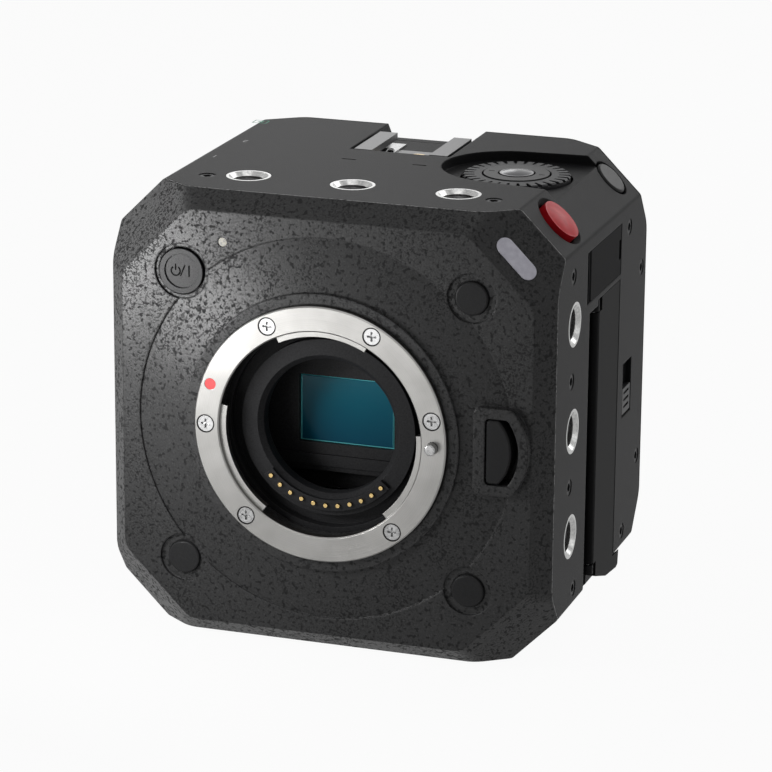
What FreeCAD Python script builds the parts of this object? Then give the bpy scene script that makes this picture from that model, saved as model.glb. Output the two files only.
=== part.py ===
import FreeCAD, Part
import math
import os

V = FreeCAD.Vector

# Driving sizes of the body, in mm
WIDE = 93.0
TALL = 93.0
DEPTH = 78.0
HALF = WIDE / 2
ZC = TALL / 2
CHAMFER = 9.3
WALL = 2.0
PLATE = 2.6
SEAM = 0.4
FIT = 0.05
GAP = 0.3
SNUG = 0.1
OVER = 3.0

# The lens ring's face is the datum: depth d is measured back from it
PIN_OUT = 1.8
RING_Y = -(DEPTH + PIN_OUT) / 2 + PIN_OUT
FLANGE_TO_SENSOR = 19.25

# Front and rear shaping: how far the bevels draw in, and where they end
BEVEL_IN = 3.5
CORNER_IN = 21.0
FLAT_D = 3.2
EDGE_LONG = 4.0
CORNER_LONG = 8.8
REAR_EDGE_LONG = 3.3
REAR_CORNER_LONG = 9.0
BLEND_R = 6.0
EDGE_R = 1.2
FLAT_Q = HALF + ZC - CORNER_IN
CORNER_RATE = (CORNER_IN - CHAMFER) / CORNER_LONG
COVER_IN_D = FLAT_D + PLATE
REAR_IN_D = DEPTH - PLATE
FLANGE_IN = 4.5

# Lens mount
THROAT_R = 21.2
RING_WIDTH = 5.2
RING_THICK = 2.8
TAB_REACH = 1.2
TAB_D = 1.0
TAB_THICK = 1.4
COLLAR_WALL = 2.3
COLLAR_D = 1.2
RING_R = THROAT_R + RING_WIDTH
TAB_R = THROAT_R - TAB_REACH
COLLAR_R = RING_R + COLLAR_WALL
CONE_R = HALF - BEVEL_IN - 3.6
MOUNT_SCREW_R = THROAT_R + 2.8
MOUNT_SCREW_ANGLES = (117, 63, 13, -50, -130, 180)
TAB_ARCS = ((63, 116), (169, 235), (-49, 5))
BAFFLE_R = 14.0
CONTACT_R = BAFFLE_R + 1.95
LOCK_X = THROAT_R + 2.4
LOCK_R = 1.15

# Sockets for quarter inch screws
SOCKET_D = 19.9
SOCKET_STEP = 22.1
SOCKET_OUT_R = 4.55
SOCKET_HOLE_R = 3.175
SOCKET_DEEP = 7.5
SOCKET_FLOOR = 0.8
SOCKET_LEN = SOCKET_DEEP + SOCKET_FLOOR
BASE_SOCKET_D = DEPTH - 23.0

# Corner discs on the front
DISC_X = HALF - 16.3
DISC_Z = ZC - 16.4
POWER_R = 4.6
CAP_DISC_R = 3.4


def yd(d):
    return RING_Y + d


def box(x0, x1, d0, d1, z0, z1):
    return Part.makeBox(x1 - x0, d1 - d0, z1 - z0, V(x0, yd(d0), z0))


def slab(d0, d1):
    # A layer wider and taller than the body
    return box(-WIDE, WIDE, d0, d1, -TALL, 2 * TALL)


def cyl(r, base, way, length):
    return Part.makeCylinder(r, length, V(*base), V(*way))


def rod_y(r, x, z, d0, d1):
    return Part.makeCylinder(r, d1 - d0, V(x, yd(d0), z), V(0, 1, 0))


def rod_z(r, x, d, z0, z1):
    return Part.makeCylinder(r, z1 - z0, V(x, yd(d), z0), V(0, 0, 1))


def prism_y(points, d0, d1):
    ring = [V(x, yd(d0), z) for x, z in points]
    face = Part.Face(Part.makePolygon(ring + ring[:1]))
    return face.extrude(V(0, d1 - d0, 0))


def prism_x(points, x0, x1):
    ring = [V(x0, yd(d), z) for d, z in points]
    face = Part.Face(Part.makePolygon(ring + ring[:1]))
    return face.extrude(V(x1 - x0, 0, 0))


def prism_z(points, z0, z1):
    ring = [V(x, yd(d), z0) for x, d in points]
    face = Part.Face(Part.makePolygon(ring + ring[:1]))
    return face.extrude(V(0, 0, z1 - z0))


def spin_y(points):
    # A profile of (radius, depth) turned about the lens axis
    ring = [V(r, yd(d), ZC) for r, d in points]
    face = Part.Face(Part.makePolygon(ring + ring[:1]))
    return face.revolve(V(0, 0, ZC), V(0, 1, 0), 360)


def polar(r, degrees):
    a = math.radians(degrees)
    return r * math.cos(a), ZC + r * math.sin(a)


def arc_bar(r_in, r_out, a0, a1, d0, d1):
    # A slab bounded by two radii and two angles about the lens axis
    mid = (a0 + a1) / 2
    corners = ((r_out, a0), (r_out, mid), (r_out, a1), (r_in, a1), (r_in, mid), (r_in, a0))
    p = [polar(r, a) for r, a in corners]
    q = [V(x, yd(d0), z) for x, z in p]
    edges = [Part.Arc(q[0], q[1], q[2]).toShape(), Part.makeLine(q[2], q[3]),
             Part.Arc(q[3], q[4], q[5]).toShape(), Part.makeLine(q[5], q[0])]
    return Part.Face(Part.Wire(edges)).extrude(V(0, d1 - d0, 0))


def octagon(inset, d0, d1):
    # The body's outline drawn in by one even distance
    w = HALF - inset
    h = ZC - inset
    c = CHAMFER - inset * (2 - math.sqrt(2))
    p = [(w - c, -h), (w, c - h), (w, h - c), (w - c, h), (c - w, h), (-w, h - c), (-w, c - h), (c - w, -h)]
    return prism_y([(x, ZC + z) for x, z in p], d0, d1)


def frustum(ring_at, d0, d1):
    # A loft between two outlines about the lens axis
    wires = []
    for d in (d0, d1):
        pts = [V(x, yd(d), ZC + z) for x, z in ring_at(d)]
        wires.append(Part.makePolygon(pts + pts[:1]))
    return Part.makeLoft(wires, True, True)


def bevel(d0, way, edge_long, corner_long):
    # Everything behind a bevelled skin: four edges and four corner facets
    edge_rate = BEVEL_IN / edge_long
    corner_rate = (CORNER_IN - CHAMFER) / corner_long

    def edges(d):
        grown = (d - d0) * way * edge_rate
        w = HALF - BEVEL_IN + grown
        h = ZC - BEVEL_IN + grown
        return ((w, h), (-w, h), (-w, -h), (w, -h))

    def corners(d):
        q = FLAT_Q + (d - d0) * way * corner_rate
        return ((q, 0), (0, q), (-q, 0), (0, -q))

    d1 = d0 + way * (DEPTH + OVER)
    return soften(frustum(edges, d0, d1).common(frustum(corners, d0, d1)), BLEND_R)


def soften(shape, r):
    # Round the edges that run from front to back
    return shape.makeFillet(r, [e for e in shape.Edges if e.BoundBox.YLength > 1])


def front_bevel(back):
    return bevel(FLAT_D + back, 1, EDGE_LONG, CORNER_LONG)


def rear_bevel(forward):
    return bevel(DEPTH - forward, -1, REAR_EDGE_LONG, REAR_CORNER_LONG)


def fuse(first, others):
    return first.multiFuse(others).removeSplitter()


def cut_all(shape, cutters):
    return shape.cut(Part.makeCompound(cutters)).removeSplitter()


def end_edges(shape, d):
    # The edges that lie wholly at one depth
    return [e for e in shape.Edges if abs(e.CenterOfMass.y - yd(d)) < 0.01 and e.BoundBox.YLength < 0.01]


def save(name, pieces):
    if not isinstance(pieces, (list, tuple)):
        pieces = [pieces]
    solids = []
    for p in pieces:
        solids += p.Solids
    shape = solids[0] if len(solids) == 1 else Part.makeCompound(solids)
    shape.exportStep("parts/" + name + ".step")
    print(name, len(solids), "valid" if shape.isValid() else "NOT VALID", round(shape.Volume / 1000, 2))


os.makedirs("parts", exist_ok=True)

BODY = soften(octagon(0, 0, DEPTH), EDGE_R).common(front_bevel(0)).common(rear_bevel(0))

# Buttons on the 45 degree chamfers
N_RIGHT = V(1, 0, 1).normalize()
N_LEFT = V(-1, 0, 1).normalize()
CH_X = HALF - CHAMFER / 2
CH_Z = TALL - CHAMFER / 2
RECORD_D = 23.4
FUNCTION_D = DEPTH - 15.8
LEFT_D = (DEPTH - 45.0, DEPTH - 30.0, DEPTH - 15.0)
RECORD = {"at": V(CH_X, yd(RECORD_D), CH_Z), "n": N_RIGHT, "r": 4.5, "rim": 5.85, "top": 1.3, "travel": 0.6}
FLUSH = {"top": 0.3, "travel": 0.5}
FUNCTION = dict(FLUSH, at=V(CH_X, yd(FUNCTION_D), CH_Z), n=N_RIGHT, r=3.8, rim=4.2)
LEFTS = [dict(FLUSH, at=V(-CH_X, yd(d), CH_Z), n=N_LEFT, r=3.3, rim=3.7) for d in LEFT_D]
ALL_BUTTONS = [RECORD, FUNCTION] + LEFTS
STEM_R = 1.2
BOSS_WALL = 1.0
BOSS_DEEP = 6.6
POCKET_DEEP = 2.6
CAP_EDGE = 0.6


def along(b, r, low, high):
    return Part.makeCylinder(r, high - low, b["at"] + b["n"] * low, b["n"])


def button_boss(b):
    return along(b, b["rim"] + BOSS_WALL, -BOSS_DEEP, -0.8)


def boss_room(b):
    # The space that a button's boss needs in a piece behind it
    return along(b, b["rim"] + BOSS_WALL + GAP, -2 * BOSS_DEEP, OVER)


def button_holes(b):
    cuts = [along(b, b["r"] + GAP, -POCKET_DEEP, OVER), along(b, STEM_R + FIT, -BOSS_DEEP - 1, 0)]
    rim = Part.makeCone(b["r"] + GAP, b["rim"] + GAP, 1.3, b["at"] - b["n"] * 1.0, b["n"])
    return cuts + [rim]


def button_body(b):
    low = -POCKET_DEEP + b["travel"] + 0.2
    cap = along(b, b["r"], low, b["top"])
    edge = [e for e in cap.Edges if abs((e.CenterOfMass - (b["at"] + b["n"] * b["top"])).Length) < 0.01]
    cap = cap.makeFillet(CAP_EDGE, edge)
    return cap.fuse(along(b, STEM_R, -BOSS_DEEP + 0.2, low + 0.1)).removeSplitter()


# Sensor stack, from the glass back to the chassis plate
GLASS_THICK = 1.2
CHIP_THICK = 1.2
BOARD_THICK = 1.2
STAND_LONG = 3.75
FRAME_THICK = 2.0
BOARD_D = (FLANGE_TO_SENSOR + CHIP_THICK, FLANGE_TO_SENSOR + CHIP_THICK + BOARD_THICK)
FRAME_D = (BOARD_D[1] + STAND_LONG, BOARD_D[1] + STAND_LONG + FRAME_THICK)

# Heat sink and fan behind the chassis plate
SINK_THICK = 2.0
FIN_LONG = 10.6
FAN_HALF = 21.5
FAN_THICK = 9.0
SINK_D = FRAME_D[1] + SINK_THICK
FAN_D = (SINK_D + FIN_LONG, SINK_D + FIN_LONG + FAN_THICK)

# Right hand side features: groove, card door, small cover and lock
GROOVE_START = 30.7
GROOVE_LONG = 6.4
GROOVE_DEEP = 6.0
DOOR_LONG = 16.7
DOOR_LOW = 9.4
DOOR_SEAT = 2.05
DOOR_UNDER = 0.15
KNUCKLE_R = 1.25
HINGE_PIN_R = 0.55
GROOVE_D = (GROOVE_START, GROOVE_START + GROOVE_LONG)
DOOR_D = (GROOVE_D[1] + SNUG, GROOVE_D[1] + SNUG + DOOR_LONG)
PORT_D = (GROOVE_D[0] - 2.2, DOOR_D[1] + 0.4)
PORT_Z = (TALL - CHAMFER - 13.5, TALL - CHAMFER - 2.7)
DOOR_Z = (DOOR_LOW, PORT_Z[0] - 1.1)
GROOVE_Z = (4.0, DOOR_Z[1] - 1.1)
PIN_D = DOOR_D[0] + KNUCKLE_R
PIN_X = HALF - KNUCKLE_R - SNUG
SEAT_X = HALF - DOOR_SEAT
DOOR_X = SEAT_X + DOOR_UNDER
CARD_D = (DOOR_D[0] + 5.0, DOOR_D[1] - 4.1)
CARD_Z = (DOOR_Z[0] + 5.6, DOOR_Z[1] - 5.1)
CARD_X = FAN_HALF + 2.5
PORT_MID = (PORT_Z[0] + PORT_Z[1]) / 2
PLUG_D = (PORT_D[0] + 3.5, PORT_D[0] + 14.5)
PLUG_HALF = 3.75
SMALL_JACK_D = (PLUG_D[1] + 1.5, PLUG_D[1] + 9.5)
SIDE_PORT_X = HALF - 8.0
FLAP_PIN_D = PORT_D[0] + 1.15
FLAP_PIN_X = HALF - 1.15
FLAP_R = 0.95
FLAP_PIN_R = 0.45
LATCH_LONG = 6.0
LATCH_TALL = 5.6
LATCH_TRAVEL = 5.0
LATCH_GAP = 0.6
LATCH_D = (DOOR_D[1] + 4.5, DOOR_D[1] + 4.5 + LATCH_LONG)
LATCH_MID = (LATCH_D[0] + LATCH_D[1]) / 2
LATCH_LOW = ZC - 8.5
LATCH_Z = (LATCH_LOW, LATCH_LOW + LATCH_TALL + LATCH_TRAVEL + 2 * LATCH_GAP)
LATCH_PAD_D = (LATCH_D[0] - 2.4, LATCH_D[1] + 3.1)

# Control dial, measured down from the top face
DIAL_R = 11.0
DIAL_D = 44.9
DIAL_EDGE = 8.4
DIAL_SINK = 1.1
WELL_DEEP = 4.4
RECESS_DEEP = 2.1
HUB_R = 5.0
PAD_R = 6.75
PAD_RIM = 0.75
CAP_R = 3.5
TEETH = 30
BASE_THICK = 1.6
LEDGE = 2.0
WELL_R = DIAL_R + 0.5
DIAL_X = HALF - DIAL_EDGE - WELL_R
DIAL_TOP = TALL - DIAL_SINK
WELL_Z = TALL - WELL_DEEP
DIAL_FLOOR = TALL - RECESS_DEEP
RECESS_R = WELL_R + 2.7
RECESS_X = DIAL_X - 1.4
RECESS_D = DIAL_D + 0.6
TOP_PAD_Z = TALL - 9.0

# Accessory shoe, measured down from the top face
SHOE_HALF = 10.9
SHOE_LONG = 17.0
RAIL_THICK = 1.45
FOOT_ROOM = 2.2
SHOE_PLATE = 0.5
RAIL_HALF = SHOE_HALF - 0.8
SHOE_INSIDE = RAIL_HALF - 0.8
RAIL_SLOT = 6.25
SHOE_FLOOR = TALL - RAIL_THICK - FOOT_ROOM
SHOE_BASE = SHOE_FLOOR - SHOE_PLATE
SHOE_FRONT_D = DEPTH - 28.5
RAIL_D = (SHOE_FRONT_D + 0.5, SHOE_FRONT_D + 0.5 + SHOE_LONG)

# Screws of the case: side pairs as (depth, height), top and bottom as (x, depth)
HIGH_Z = (ZC + SOCKET_STEP + SOCKET_OUT_R + TALL - CHAMFER) / 2 + 0.3
LOW_Z = CHAMFER + 3.1
REAR_SCREW_D = DEPTH - 6.8
BESIDE_D = SOCKET_D - 1.5
CORNER_SCREW_X = SOCKET_STEP + 8.0
CORNER_SCREW_D = SOCKET_D - 2.4
SIDE_SCREWS = [(BESIDE_D, HIGH_Z), (BESIDE_D, ZC + 10.7), (BESIDE_D, ZC - 11.3), (SOCKET_D + 3.1, LOW_Z),
               (REAR_SCREW_D, ZC + 21.0), (REAR_SCREW_D, ZC - 20.5)]
RIGHT_EXTRA = [(LATCH_D[0] + 2.2, HIGH_Z), (LATCH_D[0] + 2.2, LOW_Z)]
TOP_SCREWS = [(-CORNER_SCREW_X, CORNER_SCREW_D), (CORNER_SCREW_X, CORNER_SCREW_D)]
BOTTOM_SCREWS = TOP_SCREWS + [(-CORNER_SCREW_X, REAR_SCREW_D), (CORNER_SCREW_X, REAR_SCREW_D)]
SCREW_HEAD_R = 1.65
SCREW_R = 0.9
SCREW_SINK = 1.2
SCREW_LEN = 4.6
SCREW_BELOW = 0.15
KEY_R = 0.95
KEY_DEEP = 0.8

screws = []
for d, z in SIDE_SCREWS:
    screws.append((V(HALF, yd(d), z), V(-1, 0, 0)))
    screws.append((V(-HALF, yd(d), z), V(1, 0, 0)))
for d, z in RIGHT_EXTRA:
    screws.append((V(HALF, yd(d), z), V(-1, 0, 0)))
for x, d in TOP_SCREWS:
    screws.append((V(x, yd(d), TALL), V(0, 0, -1)))
for x, d in BOTTOM_SCREWS:
    screws.append((V(x, yd(d), 0), V(0, 0, 1)))


def screw_hole(s):
    p, n = s
    head = Part.makeCylinder(SCREW_HEAD_R, SCREW_SINK + 1, p - n, n)
    return [head, Part.makeCylinder(SCREW_R, SCREW_LEN, p, n)]


def screw_body(s):
    p, n = s
    body = Part.makeCylinder(SCREW_HEAD_R, SCREW_SINK - SCREW_BELOW, p + n * SCREW_BELOW, n)
    body = body.fuse(Part.makeCylinder(SCREW_R, SCREW_LEN - SCREW_SINK, p + n * SCREW_SINK, n))
    pts = []
    u = V(0, 1, 0)
    w = n.cross(u)
    for k in range(6):
        a = math.radians(60 * k)
        pts.append(p + u * (KEY_R * math.cos(a)) + w * (KEY_R * math.sin(a)))
    key = Part.Face(Part.makePolygon(pts + pts[:1])).extrude(n * KEY_DEEP)
    return body.cut(key)


screw_holes = []
for s in screws:
    screw_holes += screw_hole(s)

# Socket inserts round the body
sockets = []
for s in (-1, 0, 1):
    sockets.append((V(s * SOCKET_STEP, yd(SOCKET_D), TALL), V(0, 0, -1)))
for s in (-1, 0, 1):
    sockets.append((V(HALF, yd(SOCKET_D), ZC + s * SOCKET_STEP), V(-1, 0, 0)))
    sockets.append((V(-HALF, yd(SOCKET_D), ZC + s * SOCKET_STEP), V(1, 0, 0)))
sockets.append((V(0, yd(SOCKET_D), 0), V(0, 0, 1)))
sockets.append((V(0, yd(BASE_SOCKET_D), 0), V(0, 0, 1)))
socket_holes = [Part.makeCylinder(SOCKET_OUT_R, SOCKET_LEN + 1, p - n, n) for p, n in sockets]

# Tally lamp, its middle on the top right corner facet
LAMP_X = HALF - 8.3
LAMP_Z = TALL - 8.45
LAMP_AT = V(LAMP_X, yd(FLAT_D + (LAMP_X + LAMP_Z - ZC - FLAT_Q) / CORNER_RATE), LAMP_Z)
LAMP_N = V(1, -CORNER_RATE, 1).normalize()
LAMP_U = V(1, 0, -1).normalize()
LAMP_LONG = 10.0
LAMP_SHORT = 3.6
LAMP_DEEP = 1.7
LAMP_PROUD = 0.15


def lamp_shape(low, high):
    w = LAMP_N.cross(LAMP_U)
    a = LAMP_U * ((LAMP_LONG - LAMP_SHORT) / 2)
    b = w * (LAMP_SHORT / 2)
    o = LAMP_AT + LAMP_N * low
    pts = [o + a + b, o - a + b, o - a - b, o + a - b]
    bar = Part.Face(Part.makePolygon(pts + pts[:1])).extrude(LAMP_N * (high - low))
    ends = [Part.makeCylinder(LAMP_SHORT / 2, high - low, o + a, LAMP_N),
            Part.makeCylinder(LAMP_SHORT / 2, high - low, o - a, LAMP_N)]
    return fuse(bar, ends)


# Rounded D shapes of the lens release: straight left side, half height and radius
DEE_X = RING_R + 3.4
RELEASE_D = 1.2
DEE_OUT = (COLLAR_R + 2.8, 8.9, 13.0)
DEE_HOLE = (COLLAR_R + 5.2, 6.8, 11.0)
DEE_BTN = (DEE_HOLE[0] + GAP, DEE_HOLE[1] - GAP, DEE_HOLE[2] - 1.5)
DEE_LIP = (DEE_HOLE[0] - 0.9, DEE_HOLE[1] + 0.8, DEE_HOLE[2] + 0.8)
LIP_D = (COVER_IN_D + GAP, COVER_IN_D + 1.0)
YOKE_D = (LIP_D[1] + 0.4, LIP_D[1] + 1.6)


def dee(left, half_tall, r, d0, d1, corner):
    block = box(left, DEE_X + r + 1, d0, d1, ZC - half_tall, ZC + half_tall)
    shape = block.common(rod_y(r, DEE_X, ZC, d0, d1))
    ups = [e for e in shape.Edges if abs(e.tangentAt(e.FirstParameter).y) > 0.99]
    return shape.makeFillet(corner, ups)


# Front cover: bevelled skin, raised cone and collar, flange inside the shell
LED_X = -DISC_X + 8.8
LED_Z = ZC + DISC_Z + 6.7
LED_R = 0.95
DOT_R = 1.2
HEAD_D = 1.1
LIP_R = THROAT_R + 0.8
skin = octagon(WALL + SNUG, 0, DEPTH).common(BODY).cut(front_bevel(PLATE))
rim = BODY.cut(front_bevel(SEAM)).cut(slab(DEPTH / 2, DEPTH + OVER)).cut(octagon(WALL + 1.0, -OVER, DEPTH))
flange = octagon(WALL + SNUG, COVER_IN_D - 0.8, FRAME_D[0]).cut(octagon(FLANGE_IN, 0, DEPTH))
flange = flange.common(front_bevel(SEAM + 0.2))
cover = fuse(skin.cut(rod_y(CONE_R, 0, ZC, 0, DEPTH / 2)), [rim, flange])
cone = spin_y([(LIP_R, RING_THICK), (RING_R + FIT, RING_THICK), (RING_R + FIT, COLLAR_D),
               (COLLAR_R, COLLAR_D), (COLLAR_R, COLLAR_D + 0.7), (CONE_R, FLAT_D + 0.4),
               (CONE_R, COVER_IN_D), (LIP_R, COVER_IN_D)])
power_at = (-DISC_X, ZC + DISC_Z)
cap_spots = [(DISC_X, ZC + DISC_Z), (-DISC_X, ZC - DISC_Z), (DISC_X, ZC - DISC_Z)]
cover_bosses = [rod_y(POWER_R + 1.8, *power_at, COVER_IN_D - 0.8, COVER_IN_D + 3.8)]
for x, z in cap_spots:
    cover_bosses.append(rod_y(CAP_DISC_R + 1.2, x, z, COVER_IN_D - 0.8, COVER_IN_D + 2.2))
release_boss = dee(*DEE_OUT, RELEASE_D + 0.1, COVER_IN_D, 1.5)
cover = fuse(cover, [cone, release_boss] + cover_bosses)
holes = [rod_y(POWER_R + 1.05, *power_at, 0, FLAT_D + 0.5)]
holes.append(rod_y(POWER_R + GAP, *power_at, 0, FLAT_D + 2.6))
holes.append(rod_y(STEM_R + FIT, *power_at, 0, COVER_IN_D + 6.0))
for x, z in cap_spots:
    holes.append(rod_y(CAP_DISC_R + 1.6, x, z, 0, FLAT_D + 0.7))
    holes.append(rod_y(CAP_DISC_R, x, z, 0, FLAT_D + 2.2))
holes.append(dee(*DEE_HOLE, 0, COVER_IN_D + OVER, 0.9))
holes.append(rod_y(LOCK_R + 0.15, LOCK_X, ZC, 0, COVER_IN_D + OVER))
holes.append(rod_y(LED_R, LED_X, LED_Z, 0, COVER_IN_D + OVER))
holes.append(lamp_shape(-6, OVER))
holes.append(boss_room(RECORD))
for a in MOUNT_SCREW_ANGLES:
    x, z = polar(MOUNT_SCREW_R, a)
    holes.append(rod_y(SCREW_R, x, z, 0, COVER_IN_D))
save("front_cover", cut_all(cover, holes + socket_holes + screw_holes))

# Main shell: a tube with thick pads where features are sunk into it
room = BODY.common(front_bevel(SEAM)).common(rear_bevel(SEAM + 0.2)).cut(slab(-OVER, FLAT_D + 0.8))
tube = room.cut(octagon(WALL, -OVER, DEPTH + OVER))
SIDE_PAD_X = HALF - 9.5
LATCH_PAD_X = HALF - 5.5
SHOE_PAD_X = -SHOE_HALF - 1.7
side_pad = box(SIDE_PAD_X, HALF, PORT_D[0] - 0.3, PORT_D[1] + 2.2, GROOVE_Z[0] + 2.0, PORT_Z[1] + 2.5)
latch_pad = box(LATCH_PAD_X, HALF, *LATCH_PAD_D, LOW_Z - 3.4, PORT_Z[1] + 1.0)
top_pad = box(SHOE_PAD_X, HALF - 3.5, RECESS_D - RECESS_R - 2.8, DEPTH, TOP_PAD_Z, TALL)
inside = room.common(rear_bevel(PLATE + SNUG)).common(octagon(0.5, 0, DEPTH))
pads = [p.common(inside) for p in (side_pad, latch_pad, top_pad)]
bosses = [button_boss(b) for b in ALL_BUTTONS]
BASE_PAD = SOCKET_OUT_R + 1.05
base_pad = box(-BASE_PAD, BASE_PAD, BASE_SOCKET_D - BASE_PAD, BASE_SOCKET_D + BASE_PAD, WALL - 0.5, SOCKET_DEEP)
shell = fuse(tube, pads + bosses + [base_pad.common(room)])
cuts = socket_holes + screw_holes
for b in ALL_BUTTONS:
    cuts += button_holes(b)
# Vent groove, door seat and the hinge trough beside it
GROOVE_X = HALF - GROOVE_DEEP
cuts.append(box(GROOVE_X, HALF + OVER, *GROOVE_D, *GROOVE_Z))
cuts.append(box(SIDE_PAD_X - 1.0, GROOVE_X + 0.5, GROOVE_D[0] + 1.5, GROOVE_D[1] - 1.5,
                GROOVE_Z[0] + 13.5, GROOVE_Z[1] - 2.0))
cuts.append(box(SEAT_X, HALF + OVER, GROOVE_D[1] - SNUG, DOOR_D[1] + 0.15, -OVER, DOOR_Z[1] + 0.15))
cuts.append(rod_z(KNUCKLE_R + GAP, PIN_X, PIN_D, -OVER, DOOR_Z[1] + 0.15))
cuts.append(box(SIDE_PAD_X - OVER, HALF - 1.5, *CARD_D, *CARD_Z))
# Seat of the small cover and the cavity for its sockets
cuts.append(box(SEAT_X, HALF + OVER, *PORT_D, *PORT_Z))
cuts.append(rod_z(FLAP_R + 0.35, FLAP_PIN_X, FLAP_PIN_D, *PORT_Z))
for span in (PLUG_D, SMALL_JACK_D):
    cuts.append(box(SIDE_PAD_X - OVER, HALF - 1.5, *span, PORT_MID - PLUG_HALF, PORT_MID + PLUG_HALF))
# Lock slot
LATCH_IN = (HALF - 3.3, HALF - 1.3)
LATCH_PLATE_X = (HALF - 5.3, HALF - 3.6)
LATCH_SLOT_D = (LATCH_MID - 1.4, LATCH_MID + 1.4)
cuts.append(box(LATCH_IN[1], HALF + OVER, LATCH_D[0] - 0.4, LATCH_D[1] + 0.4, *LATCH_Z))
cuts.append(box(LATCH_PAD_X - 1, HALF + OVER, *LATCH_SLOT_D, LATCH_Z[0] + 0.9, LATCH_Z[1] - 0.9))
cuts.append(box(LATCH_PAD_X - 1, LATCH_IN[0], LATCH_D[0] - 1.2, LATCH_D[1] + 1.2,
                LATCH_Z[0] - 1.2, LATCH_Z[1] + 1.2))
# Dial recess and well, with a ledge for the dial's base and a hole right through inside it
recess = [(RECESS_X, RECESS_D - RECESS_R), (HALF - 8.5, RECESS_D - RECESS_R - 2.0),
          (HALF, RECESS_D - RECESS_R - 2.0), (HALF, RECESS_D + RECESS_R + 0.9),
          (HALF - 9.5, RECESS_D + RECESS_R + 0.9), (RECESS_X, RECESS_D + RECESS_R)]
cuts.append(fuse(prism_z(recess, DIAL_FLOOR, TALL + OVER),
                 [rod_z(RECESS_R, RECESS_X, RECESS_D, DIAL_FLOOR, TALL + OVER)]))
cuts.append(rod_z(WELL_R, DIAL_X, DIAL_D, WELL_Z - BASE_THICK, TALL))
cuts.append(rod_z(WELL_R - LEDGE, DIAL_X, DIAL_D, TOP_PAD_Z - OVER, TALL))
# Shoe channel, open to the rear, and two short slits in front of it
SLIT_D = SHOE_FRONT_D - 9.1
cuts.append(box(-SHOE_HALF, SHOE_HALF, SHOE_FRONT_D, DEPTH + OVER, SHOE_FLOOR, TALL + OVER))
cuts.append(box(-RAIL_HALF, RAIL_HALF, *RAIL_D, SHOE_BASE, TALL + OVER))
for x in (-7.9, 7.25):
    cuts.append(box(x - 1.5, x + 1.5, SLIT_D - 0.2, SLIT_D + 0.2, TALL - 1.2, TALL + 1))
# Exhaust slots on the left side
EXHAUST_STEP = 4.4
for k in range(6):
    d = GROOVE_D[0] + 2.3 + EXHAUST_STEP * k
    cuts.append(box(-HALF - OVER, GROOVE_DEEP - HALF, d, d + 2.0, ZC - 22.5, ZC + 22.5))
shell = shell.cut(Part.makeCompound(cuts))
# Fixed knuckles of the door hinge
KNUCKLE_Z = ((DOOR_Z[0] + 0.8, DOOR_Z[0] + 2.8), (DOOR_Z[1] - 2.6, DOOR_Z[1] - 0.1))
knuckles = []
for z0, z1 in KNUCKLE_Z:
    knuckles.append(rod_z(KNUCKLE_R, PIN_X, PIN_D, z0, z1))
    knuckles.append(box(PIN_X - 2.0, PIN_X, PIN_D - 1.2, PIN_D + 1.2, z0, z1))
pin_hole = rod_z(HINGE_PIN_R, PIN_X, PIN_D, KNUCKLE_Z[0][0] - 1.2, KNUCKLE_Z[1][1] + 1.0)
save("main_shell", shell.fuse(knuckles).cut(pin_hole).removeSplitter())

# Rear cover with its flange, posts and openings
BATT_HALF = 20.2
BATT_TALL = 69.0
BATT_PLATE = (BATT_HALF + 1.6, BATT_TALL / 2 + 1.8)
BATT_D = (REAR_IN_D - 1.5, REAR_IN_D)
REAR_FLANGE_D = DEPTH - 9.6
MAIN_BOARD_D = (DEPTH - 20.0, DEPTH - 18.4)
SOCKET_END_D = DEPTH - 0.4
PORT_X = (BATT_PLATE[0] + HALF - 3.3) / 2
POST_X = HALF - 13.5
POST_Z = (14.5, TALL - 14.5)
ROUND_PORTS = {"dc_socket": (ZC + 17.5, 6.2, 4.0), "control_socket": (ZC, 4.6, 3.0),
               "sync_socket": (ZC - 16.5, 3.6, 1.7)}
JACK_Z = (ZC - 22.5, ZC - 12.5)
JACK_OUT_R = 3.2
JACK_R = 1.8
NET = (PORT_X - 8.1, PORT_X + 8.1, ZC + 10.5, ZC + 24.5)
VIDEO = (PORT_X - 7.7, PORT_X + 7.7, ZC - 3.5, ZC + 3.5)
rear = octagon(WALL + SNUG, 0, DEPTH).common(BODY).cut(rear_bevel(PLATE))
rear_rim = BODY.cut(rear_bevel(SEAM + 0.2)).cut(slab(-OVER, DEPTH / 2))
rear_rim = rear_rim.cut(octagon(WALL + 1.0, 0, DEPTH + OVER))
rear_flange = octagon(WALL + SNUG, REAR_FLANGE_D, DEPTH).cut(octagon(FLANGE_IN, 0, DEPTH + OVER))
rear_flange = rear_flange.common(rear_bevel(SEAM + 0.4))
# The flange gives way to the pads of the shell and to the sockets
gaps = [box(SHOE_PAD_X - GAP, WIDE, 0, DEPTH + OVER, TOP_PAD_Z - GAP, 2 * TALL)]
gaps.append(box(LATCH_PAD_X - GAP, WIDE, 0, LATCH_PAD_D[1] + GAP, 0, PORT_Z[1] + 1.0 + GAP))
gaps.append(box(NET[0], NET[1] + GAP, 0, DEPTH, *NET[2:]))
rear_flange = cut_all(rear_flange, gaps)
posts = [rod_y(2.5, x, z, MAIN_BOARD_D[1], REAR_IN_D + 0.5) for x in (-POST_X, POST_X) for z in POST_Z]
rear = fuse(rear, [rear_rim, rear_flange] + posts)
rear_cuts = [box(-BATT_HALF, BATT_HALF, MAIN_BOARD_D[1], DEPTH + OVER, ZC - BATT_TALL / 2, ZC + BATT_TALL / 2)]
rear_cuts.append(box(-SHOE_HALF, SHOE_HALF, MAIN_BOARD_D[1], DEPTH + OVER, SHOE_FLOOR, TALL + OVER))
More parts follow.
